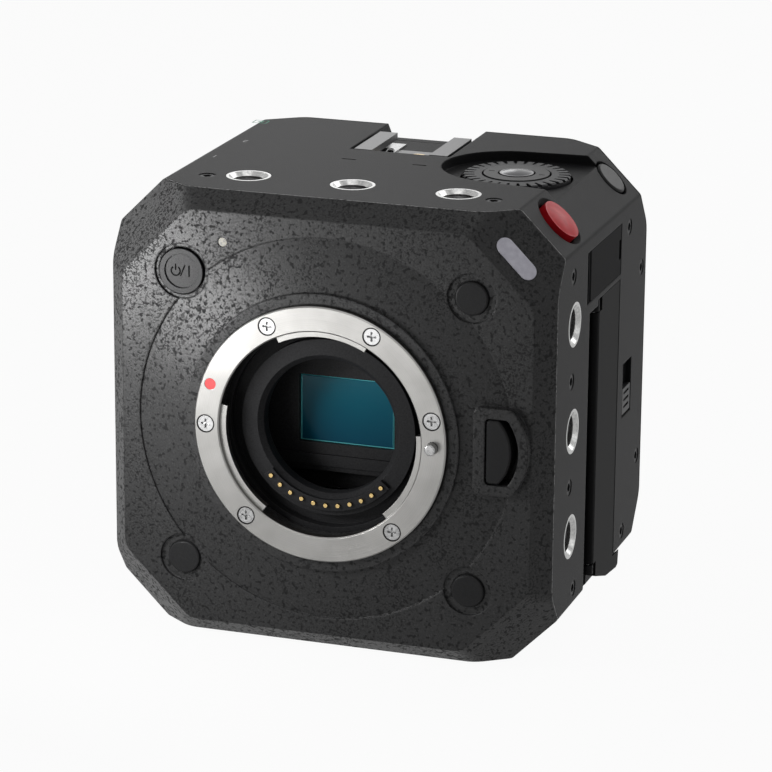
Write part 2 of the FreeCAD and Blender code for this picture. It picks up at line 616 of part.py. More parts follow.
for z, r, bore in ROUND_PORTS.values():
    rear_cuts.append(rod_y(r, -PORT_X, z, REAR_FLANGE_D, DEPTH + OVER))
for z in JACK_Z:
    rear_cuts.append(rod_y(JACK_OUT_R, PORT_X, z, REAR_FLANGE_D, DEPTH + OVER))
for x0, x1, z0, z1 in (NET, VIDEO):
    rear_cuts.append(box(x0, x1, REAR_FLANGE_D, DEPTH + OVER, z0, z1))
save("rear_cover", cut_all(rear, rear_cuts + screw_holes))


def mid_box(half_x, half_z, d0, d1):
    # A block centred on the lens axis
    return box(-half_x, half_x, d0, d1, ZC - half_z, ZC + half_z)


# Chassis plate behind the front flange, with standoffs for the sensor board
CHIP = (11.8, 9.4)
GLASS = (CHIP[0] - 1.6, CHIP[1] - 2.3)
HOLDER = (CHIP[0] + 5.7, CHIP[1] + 3.6)
SENSOR_BOARD = (HOLDER[0] + 4.0, HOLDER[1] + 4.5)
STAND = (SENSOR_BOARD[0] - 3.5, SENSOR_BOARD[1] - 3.5)
STAND_R = 2.4
SINK_BLOCK = (12.0, 10.0)
frame = octagon(WALL + 2 * SNUG, *FRAME_D)
stands = [rod_y(STAND_R, x, ZC + z, BOARD_D[1], FRAME_D[0] + 0.5)
          for x in (-STAND[0], STAND[0]) for z in (-STAND[1], STAND[1])]
frame = fuse(frame, stands)
frame_cuts = [mid_box(SINK_BLOCK[0] + 1.0, SINK_BLOCK[1] + 1.0, 0, DEPTH)]
frame_cuts += [boss_room(b) for b in ALL_BUTTONS]
for side in (-1, 1):
    x0, x1 = sorted((side * (STAND[0] + STAND_R + 0.6), side * (HALF - 12.5)))
    frame_cuts.append(box(x0, x1, *FRAME_D, ZC - 20.5, ZC + 20.5))
save("inner_frame", cut_all(frame, frame_cuts))

# Lens ring: a plain register at the mouth, then three tabs in a slightly wider bore
RING_EDGE = 0.25
TAB_BORE_R = THROAT_R + 0.3
ring = spin_y([(THROAT_R, RING_EDGE), (THROAT_R + RING_EDGE, 0.0), (RING_R - RING_EDGE, 0.0),
               (RING_R, RING_EDGE), (RING_R, RING_THICK), (TAB_BORE_R, RING_THICK), (TAB_BORE_R, TAB_D),
               (THROAT_R, TAB_D)])
tabs = [arc_bar(TAB_R, TAB_BORE_R + 0.3, a0, a1, TAB_D, TAB_D + TAB_THICK) for a0, a1 in TAB_ARCS]
ring = fuse(ring, tabs)
ring_cuts = []
for a in MOUNT_SCREW_ANGLES:
    x, z = polar(MOUNT_SCREW_R, a)
    ring_cuts.append(rod_y(SCREW_HEAD_R, x, z, -OVER, HEAD_D))
    ring_cuts.append(rod_y(SCREW_R, x, z, 0, RING_THICK + OVER))
dot_at = polar(THROAT_R + 3.2, 160)
ring_cuts.append(rod_y(DOT_R, *dot_at, -OVER, 0.6))
ring_cuts.append(rod_y(LOCK_R + 0.07, LOCK_X, ZC, -OVER, RING_THICK + OVER))
save("lens_ring", cut_all(ring, ring_cuts))

# Ring screws with a cross slot in each head
SLOT_HALF = 0.2
mount_screws = []
for a in MOUNT_SCREW_ANGLES:
    x, z = polar(MOUNT_SCREW_R, a)
    s = rod_y(SCREW_HEAD_R, x, z, 0.1, HEAD_D).fuse(rod_y(SCREW_R, x, z, HEAD_D, COVER_IN_D))
    s = s.cut(box(x - KEY_R, x + KEY_R, -1, 0.65, z - SLOT_HALF, z + SLOT_HALF))
    s = s.cut(box(x - SLOT_HALF, x + SLOT_HALF, -1, 0.65, z - KEY_R, z + KEY_R))
    mount_screws.append(s)
save("ring_screws", mount_screws)
save("index_dot", rod_y(DOT_R, *dot_at, 0.08, 0.6))

# Leaf springs behind the tabs, seated on the back of the ring
springs = []
for a0, a1 in TAB_ARCS:
    mid = (a0 + a1) / 2
    bow = arc_bar(THROAT_R - 0.7, LIP_R - 0.1, mid - 16, mid + 16, RING_THICK, RING_THICK + 0.3)
    foot = arc_bar(THROAT_R - 0.7, LIP_R - 0.1, mid - 20, mid - 14, RING_THICK, RING_THICK + 0.7)
    springs.append(bow.fuse(foot).removeSplitter())
save("ring_springs", springs)

# Light shield: stepped cup with the round opening
STEP_D = COVER_IN_D - 0.2
CUP_D = COVER_IN_D + 2.2
CUP_BACK_D = COVER_IN_D + 3.4
STEP_R = BAFFLE_R + 4.3
CUP_R = THROAT_R - 0.4
CUP_OUT_R = THROAT_R + 0.7
BRIM_R = THROAT_R + 3.5
shield = spin_y([(BAFFLE_R, STEP_D + 1.1), (BAFFLE_R + 1.0, STEP_D), (STEP_R, STEP_D), (STEP_R, CUP_D),
                 (CUP_R, CUP_D), (CUP_R, COVER_IN_D), (BRIM_R, COVER_IN_D), (BRIM_R, COVER_IN_D + 1.0),
                 (CUP_OUT_R, COVER_IN_D + 1.0), (CUP_OUT_R, CUP_BACK_D), (BAFFLE_R, CUP_BACK_D)])
shield_cuts = [rod_y(LOCK_R + 0.7, LOCK_X, ZC, 0, YOKE_D[0])]
shield_cuts.append(box(CUP_OUT_R, BRIM_R + 1.3, COVER_IN_D - 0.8, YOKE_D[0], ZC - 2.6, ZC + 2.6))
for a in MOUNT_SCREW_ANGLES:
    x, z = polar(MOUNT_SCREW_R, a)
    shield_cuts.append(rod_y(SCREW_R + 0.4, x, z, COVER_IN_D - 0.8, YOKE_D[0]))
save("light_shield", cut_all(shield, shield_cuts))

# Contact strip and its pins
PIN_ANGLES = [223.0 + 9.35 * k for k in range(11)]
CONTACT_PIN_R = 0.42
strip = arc_bar(BAFFLE_R + 0.9, STEP_R - 1.1, PIN_ANGLES[0] - 3.5, PIN_ANGLES[-1] + 3.5, STEP_D - 0.8, STEP_D)
pins = []
for a in PIN_ANGLES:
    x, z = polar(CONTACT_R, a)
    pins.append(rod_y(CONTACT_PIN_R, x, z, STEP_D - 1.35, STEP_D))
save("contact_strip", cut_all(strip, pins))
save("contact_pins", pins)

# Sensor: framed cover glass, chip and board
GLASS_D = (FLANGE_TO_SENSOR - 1.75, FLANGE_TO_SENSOR - 1.75 + GLASS_THICK)
HOLDER_D = GLASS_D[0] - 0.5
glass = mid_box(*GLASS, *GLASS_D)
save("sensor_glass", glass.makeChamfer(0.45, end_edges(glass, GLASS_D[0])))
holder = mid_box(*HOLDER, HOLDER_D, BOARD_D[0])
holder = holder.cut(mid_box(*GLASS, 0, GLASS_D[1]))
holder = holder.cut(mid_box(CHIP[0] + 0.4, CHIP[1] + 0.4, GLASS_D[1], BOARD_D[1]))
LIP = (HOLDER[0] - 1.5, GLASS[1] + 2.3, HOLDER[1] - 1.2)
lips = [box(-LIP[0], LIP[0], HOLDER_D - 0.6, HOLDER_D, ZC + z0, ZC + z1)
        for z0, z1 in ((-LIP[2], -LIP[1]), (LIP[1], LIP[2]))]
save("sensor_holder", fuse(holder, lips))
save("sensor_chip", mid_box(*CHIP, FLANGE_TO_SENSOR, BOARD_D[0]))
save("sensor_board", mid_box(*SENSOR_BOARD, *BOARD_D))

# Heat sink behind the sensor board, with fins that reach the fan
SINK = (28.0, 26.0)
FINS = 9
FIN_HALF = 0.6
sink = fuse(mid_box(*SINK_BLOCK, BOARD_D[1], FRAME_D[1] + 0.5), [mid_box(*SINK, FRAME_D[1], SINK_D)])
fin_span = 2 * (SINK[0] - 1.6)
fins = []
for k in range(FINS):
    x = fin_span * (k / (FINS - 1) - 0.5)
    fins.append(box(x - FIN_HALF, x + FIN_HALF, SINK_D - 0.4, FAN_D[0], ZC - SINK[1], ZC + SINK[1]))
save("heat_sink", fuse(sink, fins))

# Cooling fan: housing with a spider that carries the shaft, and a bladed rotor
FAN_BORE = FAN_HALF - 1.7
SHAFT_R = 1.0
ROTOR_R = FAN_BORE - 0.5
SPIDER_D = FAN_D[1] - 1.4
fan = mid_box(FAN_HALF, FAN_HALF, *FAN_D).cut(rod_y(FAN_BORE, 0, ZC, 0, DEPTH))
arms = [rod_y(6.5, 0, ZC, SPIDER_D - 0.2, FAN_D[1]), mid_box(FAN_HALF - 1.0, 1.0, SPIDER_D, FAN_D[1]),
        mid_box(1.0, FAN_HALF - 1.0, SPIDER_D, FAN_D[1])]
save("fan_housing", fuse(fan, arms).cut(rod_y(SHAFT_R + FIT, 0, ZC, 0, DEPTH)).removeSplitter())
rotor = rod_y(7.2, 0, ZC, FAN_D[0] + 0.8, SPIDER_D - 0.7)
rotor = rotor.fuse(rod_y(SHAFT_R, 0, ZC, SPIDER_D - 1.6, FAN_D[1] - 0.2))
BLADE_D = (FAN_D[0] + 1.0, SPIDER_D - 1.2)
blades = []
for k in range(7):
    a = math.radians(360 * k / 7)
    u = V(math.cos(a), 0, math.sin(a))
    w = V(-math.sin(a), 0, math.cos(a))
    pts = []
    for t, d in ((-2.0, BLADE_D[0]), (-1.2, BLADE_D[0]), (2.6, BLADE_D[1]), (1.8, BLADE_D[1])):
        p = V(0, 0, ZC) + u * 6.8 + w * t
        pts.append(V(p.x, yd(d), p.z))
    blades.append(Part.Face(Part.makePolygon(pts + pts[:1])).extrude(u * FAN_HALF))
save("fan_rotor", fuse(rotor, blades).common(rod_y(ROTOR_R, 0, ZC, 0, DEPTH)))

# Main board on the rear cover's posts
save("main_board", box(10.0 - HALF, HALF - 10.0, *MAIN_BOARD_D, 10.5, TALL - 10.5))

# Power button with a dished face
pwr = rod_y(POWER_R, *power_at, FLAT_D - 0.1, FLAT_D + 1.8)
pwr = pwr.cut(rod_y(POWER_R - 1.1, *power_at, 0, FLAT_D + 0.25))
save("power_button", pwr.fuse(rod_y(STEM_R, *power_at, FLAT_D + 1.5, COVER_IN_D + 3.6)).removeSplitter())
caps = []
for x, z in cap_spots:
    c = rod_y(CAP_DISC_R, x, z, FLAT_D + FIT, FLAT_D + 2.2)
    caps.append(c.makeFillet(0.4, end_edges(c, FLAT_D + FIT)))
save("screw_caps", caps)
save("status_led", rod_y(LED_R, LED_X, LED_Z, FLAT_D + 0.15, COVER_IN_D))
save("tally_lamp", lamp_shape(-LAMP_DEEP, LAMP_PROUD))

# Lens release button and the lock pin that follows it
btn = dee(*DEE_BTN, RELEASE_D, LIP_D[0] + 0.1, 0.8)
btn = btn.makeChamfer(0.3, end_edges(btn, RELEASE_D))
save("release_button", btn.fuse(dee(*DEE_LIP, *LIP_D, 0.8)).removeSplitter())
lock = rod_y(LOCK_R, LOCK_X, ZC, -PIN_OUT, YOKE_D[0] + 0.2)
lock = lock.makeFillet(0.3, end_edges(lock, -PIN_OUT))
yoke = box(LOCK_X - LOCK_R, DEE_HOLE[0] + 4.1, *YOKE_D, ZC - 2.0, ZC + 2.0)
save("lock_pin", lock.fuse(yoke).removeSplitter())

# Chamfer buttons: the record button has a domed cap
rec = along(RECORD, RECORD["r"], -POCKET_DEEP + 0.8, 0.75)
DOME_R = 14.0
ball = Part.makeSphere(DOME_R, RECORD["at"] + RECORD["n"] * (RECORD["top"] + 0.1 - DOME_R))
dome = along(RECORD, RECORD["r"], 0.7, OVER).common(ball)
save("record_button", fuse(rec, [dome, along(RECORD, STEM_R, -BOSS_DEEP + 0.2, -POCKET_DEEP + 1.0)]))
save("function_button", button_body(FUNCTION))
for k, b in enumerate(LEFTS):
    save("left_button_" + "abc"[k], button_body(b))

# Control dial: fixed base with its hub, toothed wheel, rocking pad and centre button


def dial_rod(r, z0, z1):
    return rod_z(r, DIAL_X, DIAL_D, z0, z1)


base = dial_rod(WELL_R - FIT, WELL_Z - BASE_THICK, WELL_Z)
hub = fuse(base, [dial_rod(HUB_R + 1.6, WELL_Z - 0.5, WELL_Z + 0.5), dial_rod(HUB_R, WELL_Z, WELL_Z + 1.7)])
save("dial_hub", hub.cut(dial_rod(STEM_R + FIT, 0, TALL)).removeSplitter())
wheel = dial_rod(DIAL_R, WELL_Z + 0.8, DIAL_TOP).cut(dial_rod(PAD_R + 0.4, WELL_Z + 1.5, TALL))
wheel = wheel.cut(dial_rod(HUB_R + FIT, 0, TALL))
top_edges = [e for e in wheel.Edges if abs(e.CenterOfMass.z - DIAL_TOP) < 0.01]
wheel = wheel.makeChamfer(0.3, [e for e in top_edges if e.BoundBox.XLength > 2 * DIAL_R - 1])
teeth = []
for k in range(TEETH):
    a = math.radians(360.0 * k / TEETH)
    c, s = math.cos(a), math.sin(a)
    pts = []
    for r, t in ((DIAL_R - 2.4, -0.22), (DIAL_R + 0.6, -0.55), (DIAL_R + 0.6, 0.55), (DIAL_R - 2.4, 0.22)):
        pts.append((DIAL_X + r * c - t * s, DIAL_D + r * s + t * c))
    teeth.append(prism_z(pts, DIAL_TOP - 0.55, TALL))
save("control_dial", cut_all(wheel, teeth))
save("dial_pad_seat", dial_rod(HUB_R - 0.4, WELL_Z + 1.82, WELL_Z + 2.02).cut(dial_rod(STEM_R + 0.5, 0, TALL)))
# The pad's rim is thin, and its boss rocks on the seat
pad = dial_rod(PAD_R, DIAL_TOP - PAD_RIM + 0.15, DIAL_TOP + 0.15).fuse(dial_rod(HUB_R - 0.4, WELL_Z + 2.22, DIAL_TOP))
save("dial_pad", pad.cut(dial_rod(CAP_R + 0.35, 0, TALL)).removeSplitter())
CROWN_R = 10.0
crown = Part.makeSphere(CROWN_R, V(DIAL_X, yd(DIAL_D), DIAL_TOP + 0.75 - CROWN_R))
crown = crown.common(dial_rod(CAP_R, DIAL_TOP + 0.2, TALL))
stem = dial_rod(STEM_R, WELL_Z - 2.2, DIAL_TOP - 0.5)
save("dial_button", fuse(dial_rod(CAP_R, DIAL_TOP - 0.65, DIAL_TOP + 0.25), [crown, stem]))

# Accessory shoe: base, side walls and overhanging rails
shoe = [box(-RAIL_HALF, RAIL_HALF, *RAIL_D, SHOE_BASE, SHOE_FLOOR)]
for side in (-1, 1):
    x0, x1 = sorted((side * SHOE_INSIDE, side * RAIL_HALF))
    shoe.append(box(x0, x1, *RAIL_D, SHOE_BASE, TALL))
    x0, x1 = sorted((side * RAIL_SLOT, side * RAIL_HALF))
    shoe.append(box(x0, x1, *RAIL_D, TALL - RAIL_THICK, TALL))
save("shoe_rails", fuse(shoe[0], shoe[1:]))
# Spring with two humped arms, its bar under the rails
SPRING_D = (RAIL_D[0] + 1.6, RAIL_D[1] + 4.4)
SPRING_X = (RAIL_SLOT - 0.55, SHOE_INSIDE - 0.1)
LEAF = 0.3
HUMP = ((0.0, 0.0), (1.5, 0.9), (4.5, 1.5), (7.5, 0.9), (9.0, 0.0), (8.2, 0.0), (7.2, 0.55), (4.5, 1.15),
        (1.8, 0.55), (0.8, 0.0))
arms = [box(-SPRING_X[1], SPRING_X[1], SPRING_D[0], SPRING_D[0] + 2.6, SHOE_FLOOR, SHOE_FLOOR + LEAF)]
for side in (-1, 1):
    x0, x1 = sorted((side * SPRING_X[0], side * SPRING_X[1]))
    arms.append(box(x0, x1, *SPRING_D, SHOE_FLOOR, SHOE_FLOOR + LEAF))
    hump = [(SPRING_D[0] + 4.4 + d, SHOE_FLOOR + 0.2 + h) for d, h in HUMP]
    arms.append(prism_x(hump, x0 + 0.4, x1 - 0.4))
save("shoe_spring", fuse(arms[0], arms[1:]))
spots = [(0.0, 11.2, 1.9), (-3.2, 7.0, 0.7), (3.2, 7.0, 0.7), (3.4, 16.0, 0.7)]
save("shoe_contacts", [rod_z(r, x, RAIL_D[0] + d, SHOE_FLOOR, SHOE_FLOOR + 0.45) for x, d, r in spots])

# Socket inserts, one group of separate solids
MOUTH = 0.8
inserts = []
for p, n in sockets:
    s = Part.makeCylinder(SOCKET_OUT_R, SOCKET_LEN, p, n)
    s = s.cut(Part.makeCylinder(SOCKET_HOLE_R, SOCKET_DEEP, p, n))
    inserts.append(s.cut(Part.makeCone(SOCKET_HOLE_R + MOUTH, SOCKET_HOLE_R, MOUTH, p, n)))
save("socket_inserts", inserts)
save("case_screws", [screw_body(s) for s in screws])

# Louvre at the bottom of the vent groove
SLAT_STEP = 4.2
SLAT_GAP = 2.2
LOUVRE_Z = (GROOVE_Z[0] + 11.6, GROOVE_Z[1])
slat_count = int((LOUVRE_Z[1] - LOUVRE_Z[0] - 1.4) / SLAT_STEP)
slats = []
for k in range(slat_count):
    z = LOUVRE_Z[0] + 1.4 + SLAT_STEP * k
    slats.append(box(GROOVE_X - 0.5, GROOVE_X + 2.5, GROOVE_D[0] + 1.0, GROOVE_D[1] - 1.0, z, z + SLAT_GAP))
louvre = box(GROOVE_X, GROOVE_X + 1.5, *GROOVE_D, *LOUVRE_Z)
save("vent_louvre", louvre.cut(Part.makeCompound(slats)))

# Card door with knuckles, foot tab, and its pin
door = box(DOOR_X, HALF - FIT, PIN_D, DOOR_D[1], *DOOR_Z)
door = door.fuse(rod_z(KNUCKLE_R, PIN_X, PIN_D, KNUCKLE_Z[0][1] + 0.4, KNUCKLE_Z[1][0] - GAP))
FOOT_TOP = DOOR_Z[0] + 2.6
foot = [(DOOR_D[0] + 2.7, FOOT_TOP), (DOOR_D[0] + 2.7, DOOR_Z[0] - 0.2), (DOOR_D[1] - 5.3, DOOR_Z[0] - 3.0),
        (DOOR_D[1] + 3.1, DOOR_Z[0] - 3.9), (DOOR_D[1] + 4.3, DOOR_Z[0] - 3.5),
        (DOOR_D[1] + 4.7, DOOR_Z[0] - 0.4), (DOOR_D[1] + 4.7, FOOT_TOP)]
foot = prism_x(foot, DOOR_X, HALF - FIT)
# Past the door's edge the foot stands clear of the body's side and lower chamfer
SIDE_X = HALF + 0.25
clear = prism_y([(SIDE_X, CHAMFER), (SIDE_X, TALL), (-HALF, TALL), (-HALF, -5.0),
                 (SIDE_X - CHAMFER - 5.0, -5.0)], DOOR_D[1], DEPTH)
door = door.fuse(foot.cut(clear))
for z0, z1 in ((DOOR_Z[0] - 4.4, KNUCKLE_Z[0][1] + 0.2), (KNUCKLE_Z[1][0] - 0.2, DOOR_Z[1] + 1.0)):
    door = door.cut(box(PIN_X - 2 * OVER, PIN_X + 2 * OVER, PIN_D - 3.0, PIN_D + 1.9, z0, z1))
door = door.cut(rod_z(HINGE_PIN_R + FIT, PIN_X, PIN_D, 0, TALL))
save("card_door", door.removeSplitter())
save("door_pin", rod_z(HINGE_PIN_R, PIN_X, PIN_D, KNUCKLE_Z[0][0], KNUCKLE_Z[1][1]))

# Card slot block behind the door
slot = box(CARD_X, SEAT_X - SNUG, *CARD_D, *CARD_Z)
card_room = box(CARD_X + 2.0, HALF + OVER, CARD_D[0] + 1.7, CARD_D[1] - 1.7, CARD_Z[0] + 2.5, CARD_Z[1] - 2.5)
save("card_slot", slot.cut(card_room))

# Lock slider
SL_Z = LATCH_Z[0] + LATCH_GAP
slider = box(LATCH_IN[1] + 0.2, HALF - FIT, *LATCH_D, SL_Z, SL_Z + LATCH_TALL)
ribs = []
for k in range(3):
    z = SL_Z + 1.2 + 1.5 * k
    ribs.append(box(HALF - 0.45, HALF + OVER, LATCH_D[0] + 1.0, LATCH_D[1] - 1.0, z, z + 0.6))
slider = slider.cut(Part.makeCompound(ribs))
neck = box(LATCH_PLATE_X[0] + 0.8, LATCH_IN[1] + GAP, LATCH_SLOT_D[0] + GAP, LATCH_SLOT_D[1] - GAP,
           SL_Z + 1.0, SL_Z + LATCH_TALL - 1.0)
back = box(*LATCH_PLATE_X, LATCH_D[0] - 0.6, LATCH_D[1] + 0.6, SL_Z + 0.2, SL_Z + LATCH_TALL - 0.2)
save("lock_slider", fuse(slider, [neck, back]))

# Small side cover with a rolled hinge edge, and the sockets behind it
FLAP_Z = (PORT_Z[0] + 0.15, PORT_Z[1] - 0.15)
flap = box(DOOR_X + FIT, HALF - FIT, FLAP_PIN_D, PORT_D[1] - 0.15, *FLAP_Z)
flap = flap.fuse(rod_z(FLAP_R, FLAP_PIN_X, FLAP_PIN_D, *FLAP_Z)).removeSplitter()
# A shallow groove beside the hinge, so that its face clears the shell's edge when it opens past a right angle
BEND_DEEP = 0.3
BEND_D = (FLAP_PIN_D - 1.2, FLAP_PIN_D + 1.4, FLAP_PIN_D + 2.2)
bend = [(HALF - FIT + s * BEND_DEEP, d) for s, d in zip((1, -1, 1), BEND_D)]
flap = flap.cut(prism_z(bend, 0, TALL))
flap = flap.cut(box(HALF - 0.6, HALF + OVER, PORT_D[1] - 1.6, PORT_D[1], PORT_MID - 2.1, PORT_MID + 2.1))
save("side_cover", flap.cut(rod_z(FLAP_PIN_R + FIT, FLAP_PIN_X, FLAP_PIN_D, 0, TALL)))
save("cover_pin", rod_z(FLAP_PIN_R, FLAP_PIN_X, FLAP_PIN_D, *PORT_Z))
PLUG_MID_D = (PLUG_D[0] + PLUG_D[1]) / 2
MOUTH_HALF = 3.4
MOUTH_R = 1.6
plug = box(SIDE_PORT_X, SEAT_X - SNUG, *PLUG_D, PORT_MID - PLUG_HALF, PORT_MID + PLUG_HALF)
ends_d = (PLUG_MID_D - MOUTH_HALF, PLUG_MID_D + MOUTH_HALF)
mouth = box(SIDE_PORT_X + 1.0, HALF + OVER, *ends_d, PORT_MID - MOUTH_R, PORT_MID + MOUTH_R)
rounds = [cyl(MOUTH_R, (SIDE_PORT_X + 1.0, yd(d), PORT_MID), (1, 0, 0), 2 * GROOVE_DEEP) for d in ends_d]
mouth = fuse(mouth, rounds)
tongue = box(SIDE_PORT_X + 0.5, SEAT_X - 0.85, ends_d[0] + 0.5, ends_d[1] - 0.5,
             PORT_MID - 0.35, PORT_MID + 0.35)
plug = plug.cut(mouth).fuse(tongue).removeSplitter()
jack = box(SIDE_PORT_X, SEAT_X - SNUG, *SMALL_JACK_D, PORT_MID - PLUG_HALF, PORT_MID + PLUG_HALF)
jack_at = (SIDE_PORT_X + 1.0, yd((SMALL_JACK_D[0] + SMALL_JACK_D[1]) / 2), PORT_MID)
jack = jack.cut(cyl(JACK_R, jack_at, (1, 0, 0), 2 * GROOVE_DEEP))
save("side_sockets", [plug, jack])

# Battery plate with four hooks and a contact block, terminals and release
HOOK_X = BATT_HALF - 2.8
TERMINAL_X = (-7.5, -2.5, 2.5, 7.5)
BLADE_HALF = 0.45
KNOB_Z = ZC - 31.7
plate = mid_box(*BATT_PLATE, *BATT_D)
hooks = []
for side in (-1, 1):
    for z in (ZC - 12.5, ZC + 19.5):
        x = side * HOOK_X
        hooks.append(box(x - 1.2, x + 1.2, REAR_IN_D - 0.1, DEPTH - 0.2, z, z + 7.0))
        x0, x1 = sorted((x - side * 1.2, x - side * 3.4))
        hooks.append(box(x0, x1, DEPTH - 1.2, DEPTH - 0.2, z, z + 7.0))
hooks.append(box(-11.0, 11.0, REAR_IN_D - 0.1, DEPTH - 0.4, ZC - 21.5, ZC - 15.0))
plate_cuts = [box(x - BLADE_HALF, x + BLADE_HALF, REAR_IN_D + 0.3, DEPTH + OVER, ZC - 20.0, ZC - 13.5)
              for x in TERMINAL_X]
plate_cuts.append(box(-10.0, -6.8, MAIN_BOARD_D[1], DEPTH + OVER, KNOB_Z - 0.2, KNOB_Z + 6.4))
save("battery_plate", cut_all(fuse(plate, hooks), plate_cuts))
terminals = [box(x - BLADE_HALF, x + BLADE_HALF, REAR_IN_D + 0.3, DEPTH - 0.7, ZC - 20.0, ZC - 16.0)
             for x in TERMINAL_X]
save("battery_terminals", terminals)
knob = box(-13.4, -3.4, REAR_IN_D + 0.2, DEPTH - 0.3, KNOB_Z, KNOB_Z + 4.4)
knob = knob.cut(box(-12.4, -4.4, DEPTH - 0.7, DEPTH + OVER, KNOB_Z + 1.6, KNOB_Z + 2.6))
link = box(-9.9, -6.9, BATT_D[0] - 0.7, REAR_IN_D + 0.4, KNOB_Z + 0.4, KNOB_Z + 3.4)
catch = box(-11.4, -5.4, BATT_D[0] - 1.3, BATT_D[0] - 0.3, KNOB_Z - 0.4, KNOB_Z + 4.2)
save("battery_release", fuse(knob, [link, catch]))

# Rear sockets standing on the main board
PORT_BORE_D = MAIN_BOARD_D[1] + 6.4
for name, (z, r, bore) in ROUND_PORTS.items():
    s = rod_y(r, -PORT_X, z, MAIN_BOARD_D[1], SOCKET_END_D).cut(rod_y(bore, -PORT_X, z, PORT_BORE_D, DEPTH))
    spread = [0.0] if bore < 2 else [-1.3, 1.3]
    pins = [rod_y(0.5, x - PORT_X, z, PORT_BORE_D - 0.5, PORT_BORE_D + 6.5) for x in spread]
    save(name, fuse(s, pins))
jacks = []
for z in JACK_Z:
    s = rod_y(JACK_OUT_R, PORT_X, z, MAIN_BOARD_D[1], SOCKET_END_D)
    jacks.append(s.cut(rod_y(JACK_R, PORT_X, z, PORT_BORE_D - 2.0, DEPTH)))
save("audio_jacks", jacks)
net = box(*NET[:2], MAIN_BOARD_D[1], SOCKET_END_D, *NET[2:])
net = net.cut(box(NET[0] + 2.1, NET[1] - 2.1, PORT_BORE_D, DEPTH, NET[2] + 2.4, NET[3] - 2.4))
save("network_socket", net.cut(box(NET[0] + 5.0, NET[1] - 5.0, PORT_BORE_D, DEPTH, NET[3] - 2.5, NET[3] - 1.2)))
vid = box(*VIDEO[:2], MAIN_BOARD_D[1], SOCKET_END_D, *VIDEO[2:])
hole = []
for side, x in ((1, VIDEO[0]), (-1, VIDEO[1])):
    shape = [(x + side * 0.7, VIDEO[3] - 1.1), (x + side * 0.7, VIDEO[2] + 2.8),
             (x + side * 2.2, VIDEO[2] + 1.3)]
    hole += shape[::side]
vid = vid.cut(prism_y(hole, PORT_BORE_D + 0.5, DEPTH))
blade = box(VIDEO[0] + 2.7, VIDEO[1] - 2.7, PORT_BORE_D, DEPTH - 2.0, VIDEO[2] + 3.4, VIDEO[2] + 4.1)
save("video_socket", vid.fuse(blade).removeSplitter())
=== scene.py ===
import math
import bpy
from mathutils import Matrix, Vector


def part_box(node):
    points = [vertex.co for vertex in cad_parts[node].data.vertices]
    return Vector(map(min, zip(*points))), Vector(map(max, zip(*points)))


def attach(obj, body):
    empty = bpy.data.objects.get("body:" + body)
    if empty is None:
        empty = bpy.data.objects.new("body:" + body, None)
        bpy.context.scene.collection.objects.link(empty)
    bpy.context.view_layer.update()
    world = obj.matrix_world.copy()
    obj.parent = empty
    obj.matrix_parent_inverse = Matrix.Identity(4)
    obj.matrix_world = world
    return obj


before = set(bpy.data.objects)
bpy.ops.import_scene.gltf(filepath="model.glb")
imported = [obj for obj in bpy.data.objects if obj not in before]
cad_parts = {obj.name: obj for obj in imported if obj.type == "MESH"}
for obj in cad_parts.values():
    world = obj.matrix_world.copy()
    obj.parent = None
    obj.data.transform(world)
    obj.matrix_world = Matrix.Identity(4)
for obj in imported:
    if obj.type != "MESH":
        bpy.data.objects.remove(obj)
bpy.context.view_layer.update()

# Front cover: one die-cast magnesium plate with bevelled edges and corner facets, a low cone and a collar
# round the lens. It is sprayed with a grey textured coat in which black specks show, then baked.
mm = 0.001
COVER_GREY = (0.024, 0.024, 0.0243)
COVER_SPECK = (0.0015, 0.0015, 0.0017)
SPECK_COVER = 0.85
FLECK_COVER = 0.5
FLECK_PALE = 2.4
FINE_RELIEF = 0.35
EDGE_SAMPLES = 6


def new_coat(name, rough, shine=0.5, metal=0.0):
    """A finish, its node tree and shader, and the place on the piece in mm."""
    coat = bpy.data.materials.new(name)
    coat.use_nodes = True
    tree = coat.node_tree
    shader = tree.nodes["Principled BSDF"]
    shader.inputs["Roughness"].default_value = rough
    shader.inputs["Specular IOR Level"].default_value = shine
    shader.inputs["Metallic"].default_value = metal
    where = tree.nodes.new("ShaderNodeTexCoord")
    in_mm = tree.nodes.new("ShaderNodeVectorMath")
    in_mm.operation = "SCALE"
    in_mm.inputs["Scale"].default_value = 1 / mm
    tree.links.new(where.outputs["Object"], in_mm.inputs[0])
    return coat, tree, shader, in_mm.outputs["Vector"]


def grain(tree, place, size, low, high, detail=2.0, stretch=None):
    """A 0 to 1 pattern of patches about size mm wide, cut between two levels."""
    if stretch:
        pull = tree.nodes.new("ShaderNodeVectorMath")
        pull.operation = "MULTIPLY"
        pull.inputs[1].default_value = stretch
        tree.links.new(place, pull.inputs[0])
        place = pull.outputs["Vector"]
    noise = tree.nodes.new("ShaderNodeTexNoise")
    noise.inputs["Scale"].default_value = 1.0 / size
    noise.inputs["Detail"].default_value = detail
    tree.links.new(place, noise.inputs["Vector"])
    return levels(tree, noise.outputs[0], low, high)


def levels(tree, value, low, high, to_low=0.0, to_high=1.0):
    """Stretch what lies between low and high, and hold the rest at its ends."""
    cut = tree.nodes.new("ShaderNodeMapRange")
    cut.inputs["From Min"].default_value = low
    cut.inputs["From Max"].default_value = high
    cut.inputs["To Min"].default_value = to_low
    cut.inputs["To Max"].default_value = to_high
    tree.links.new(value, cut.inputs["Value"])
    return cut.outputs["Result"]


def math_of(tree, operation, first, second=None):
    """One sum of two numbers or patterns."""
    step = tree.nodes.new("ShaderNodeMath")
    step.operation = operation
    for socket, value in zip(step.inputs, (first, second)):
        if isinstance(value, (int, float)):
            socket.default_value = value
        elif value is not None:
            tree.links.new(value, socket)
    return step.outputs["Value"]


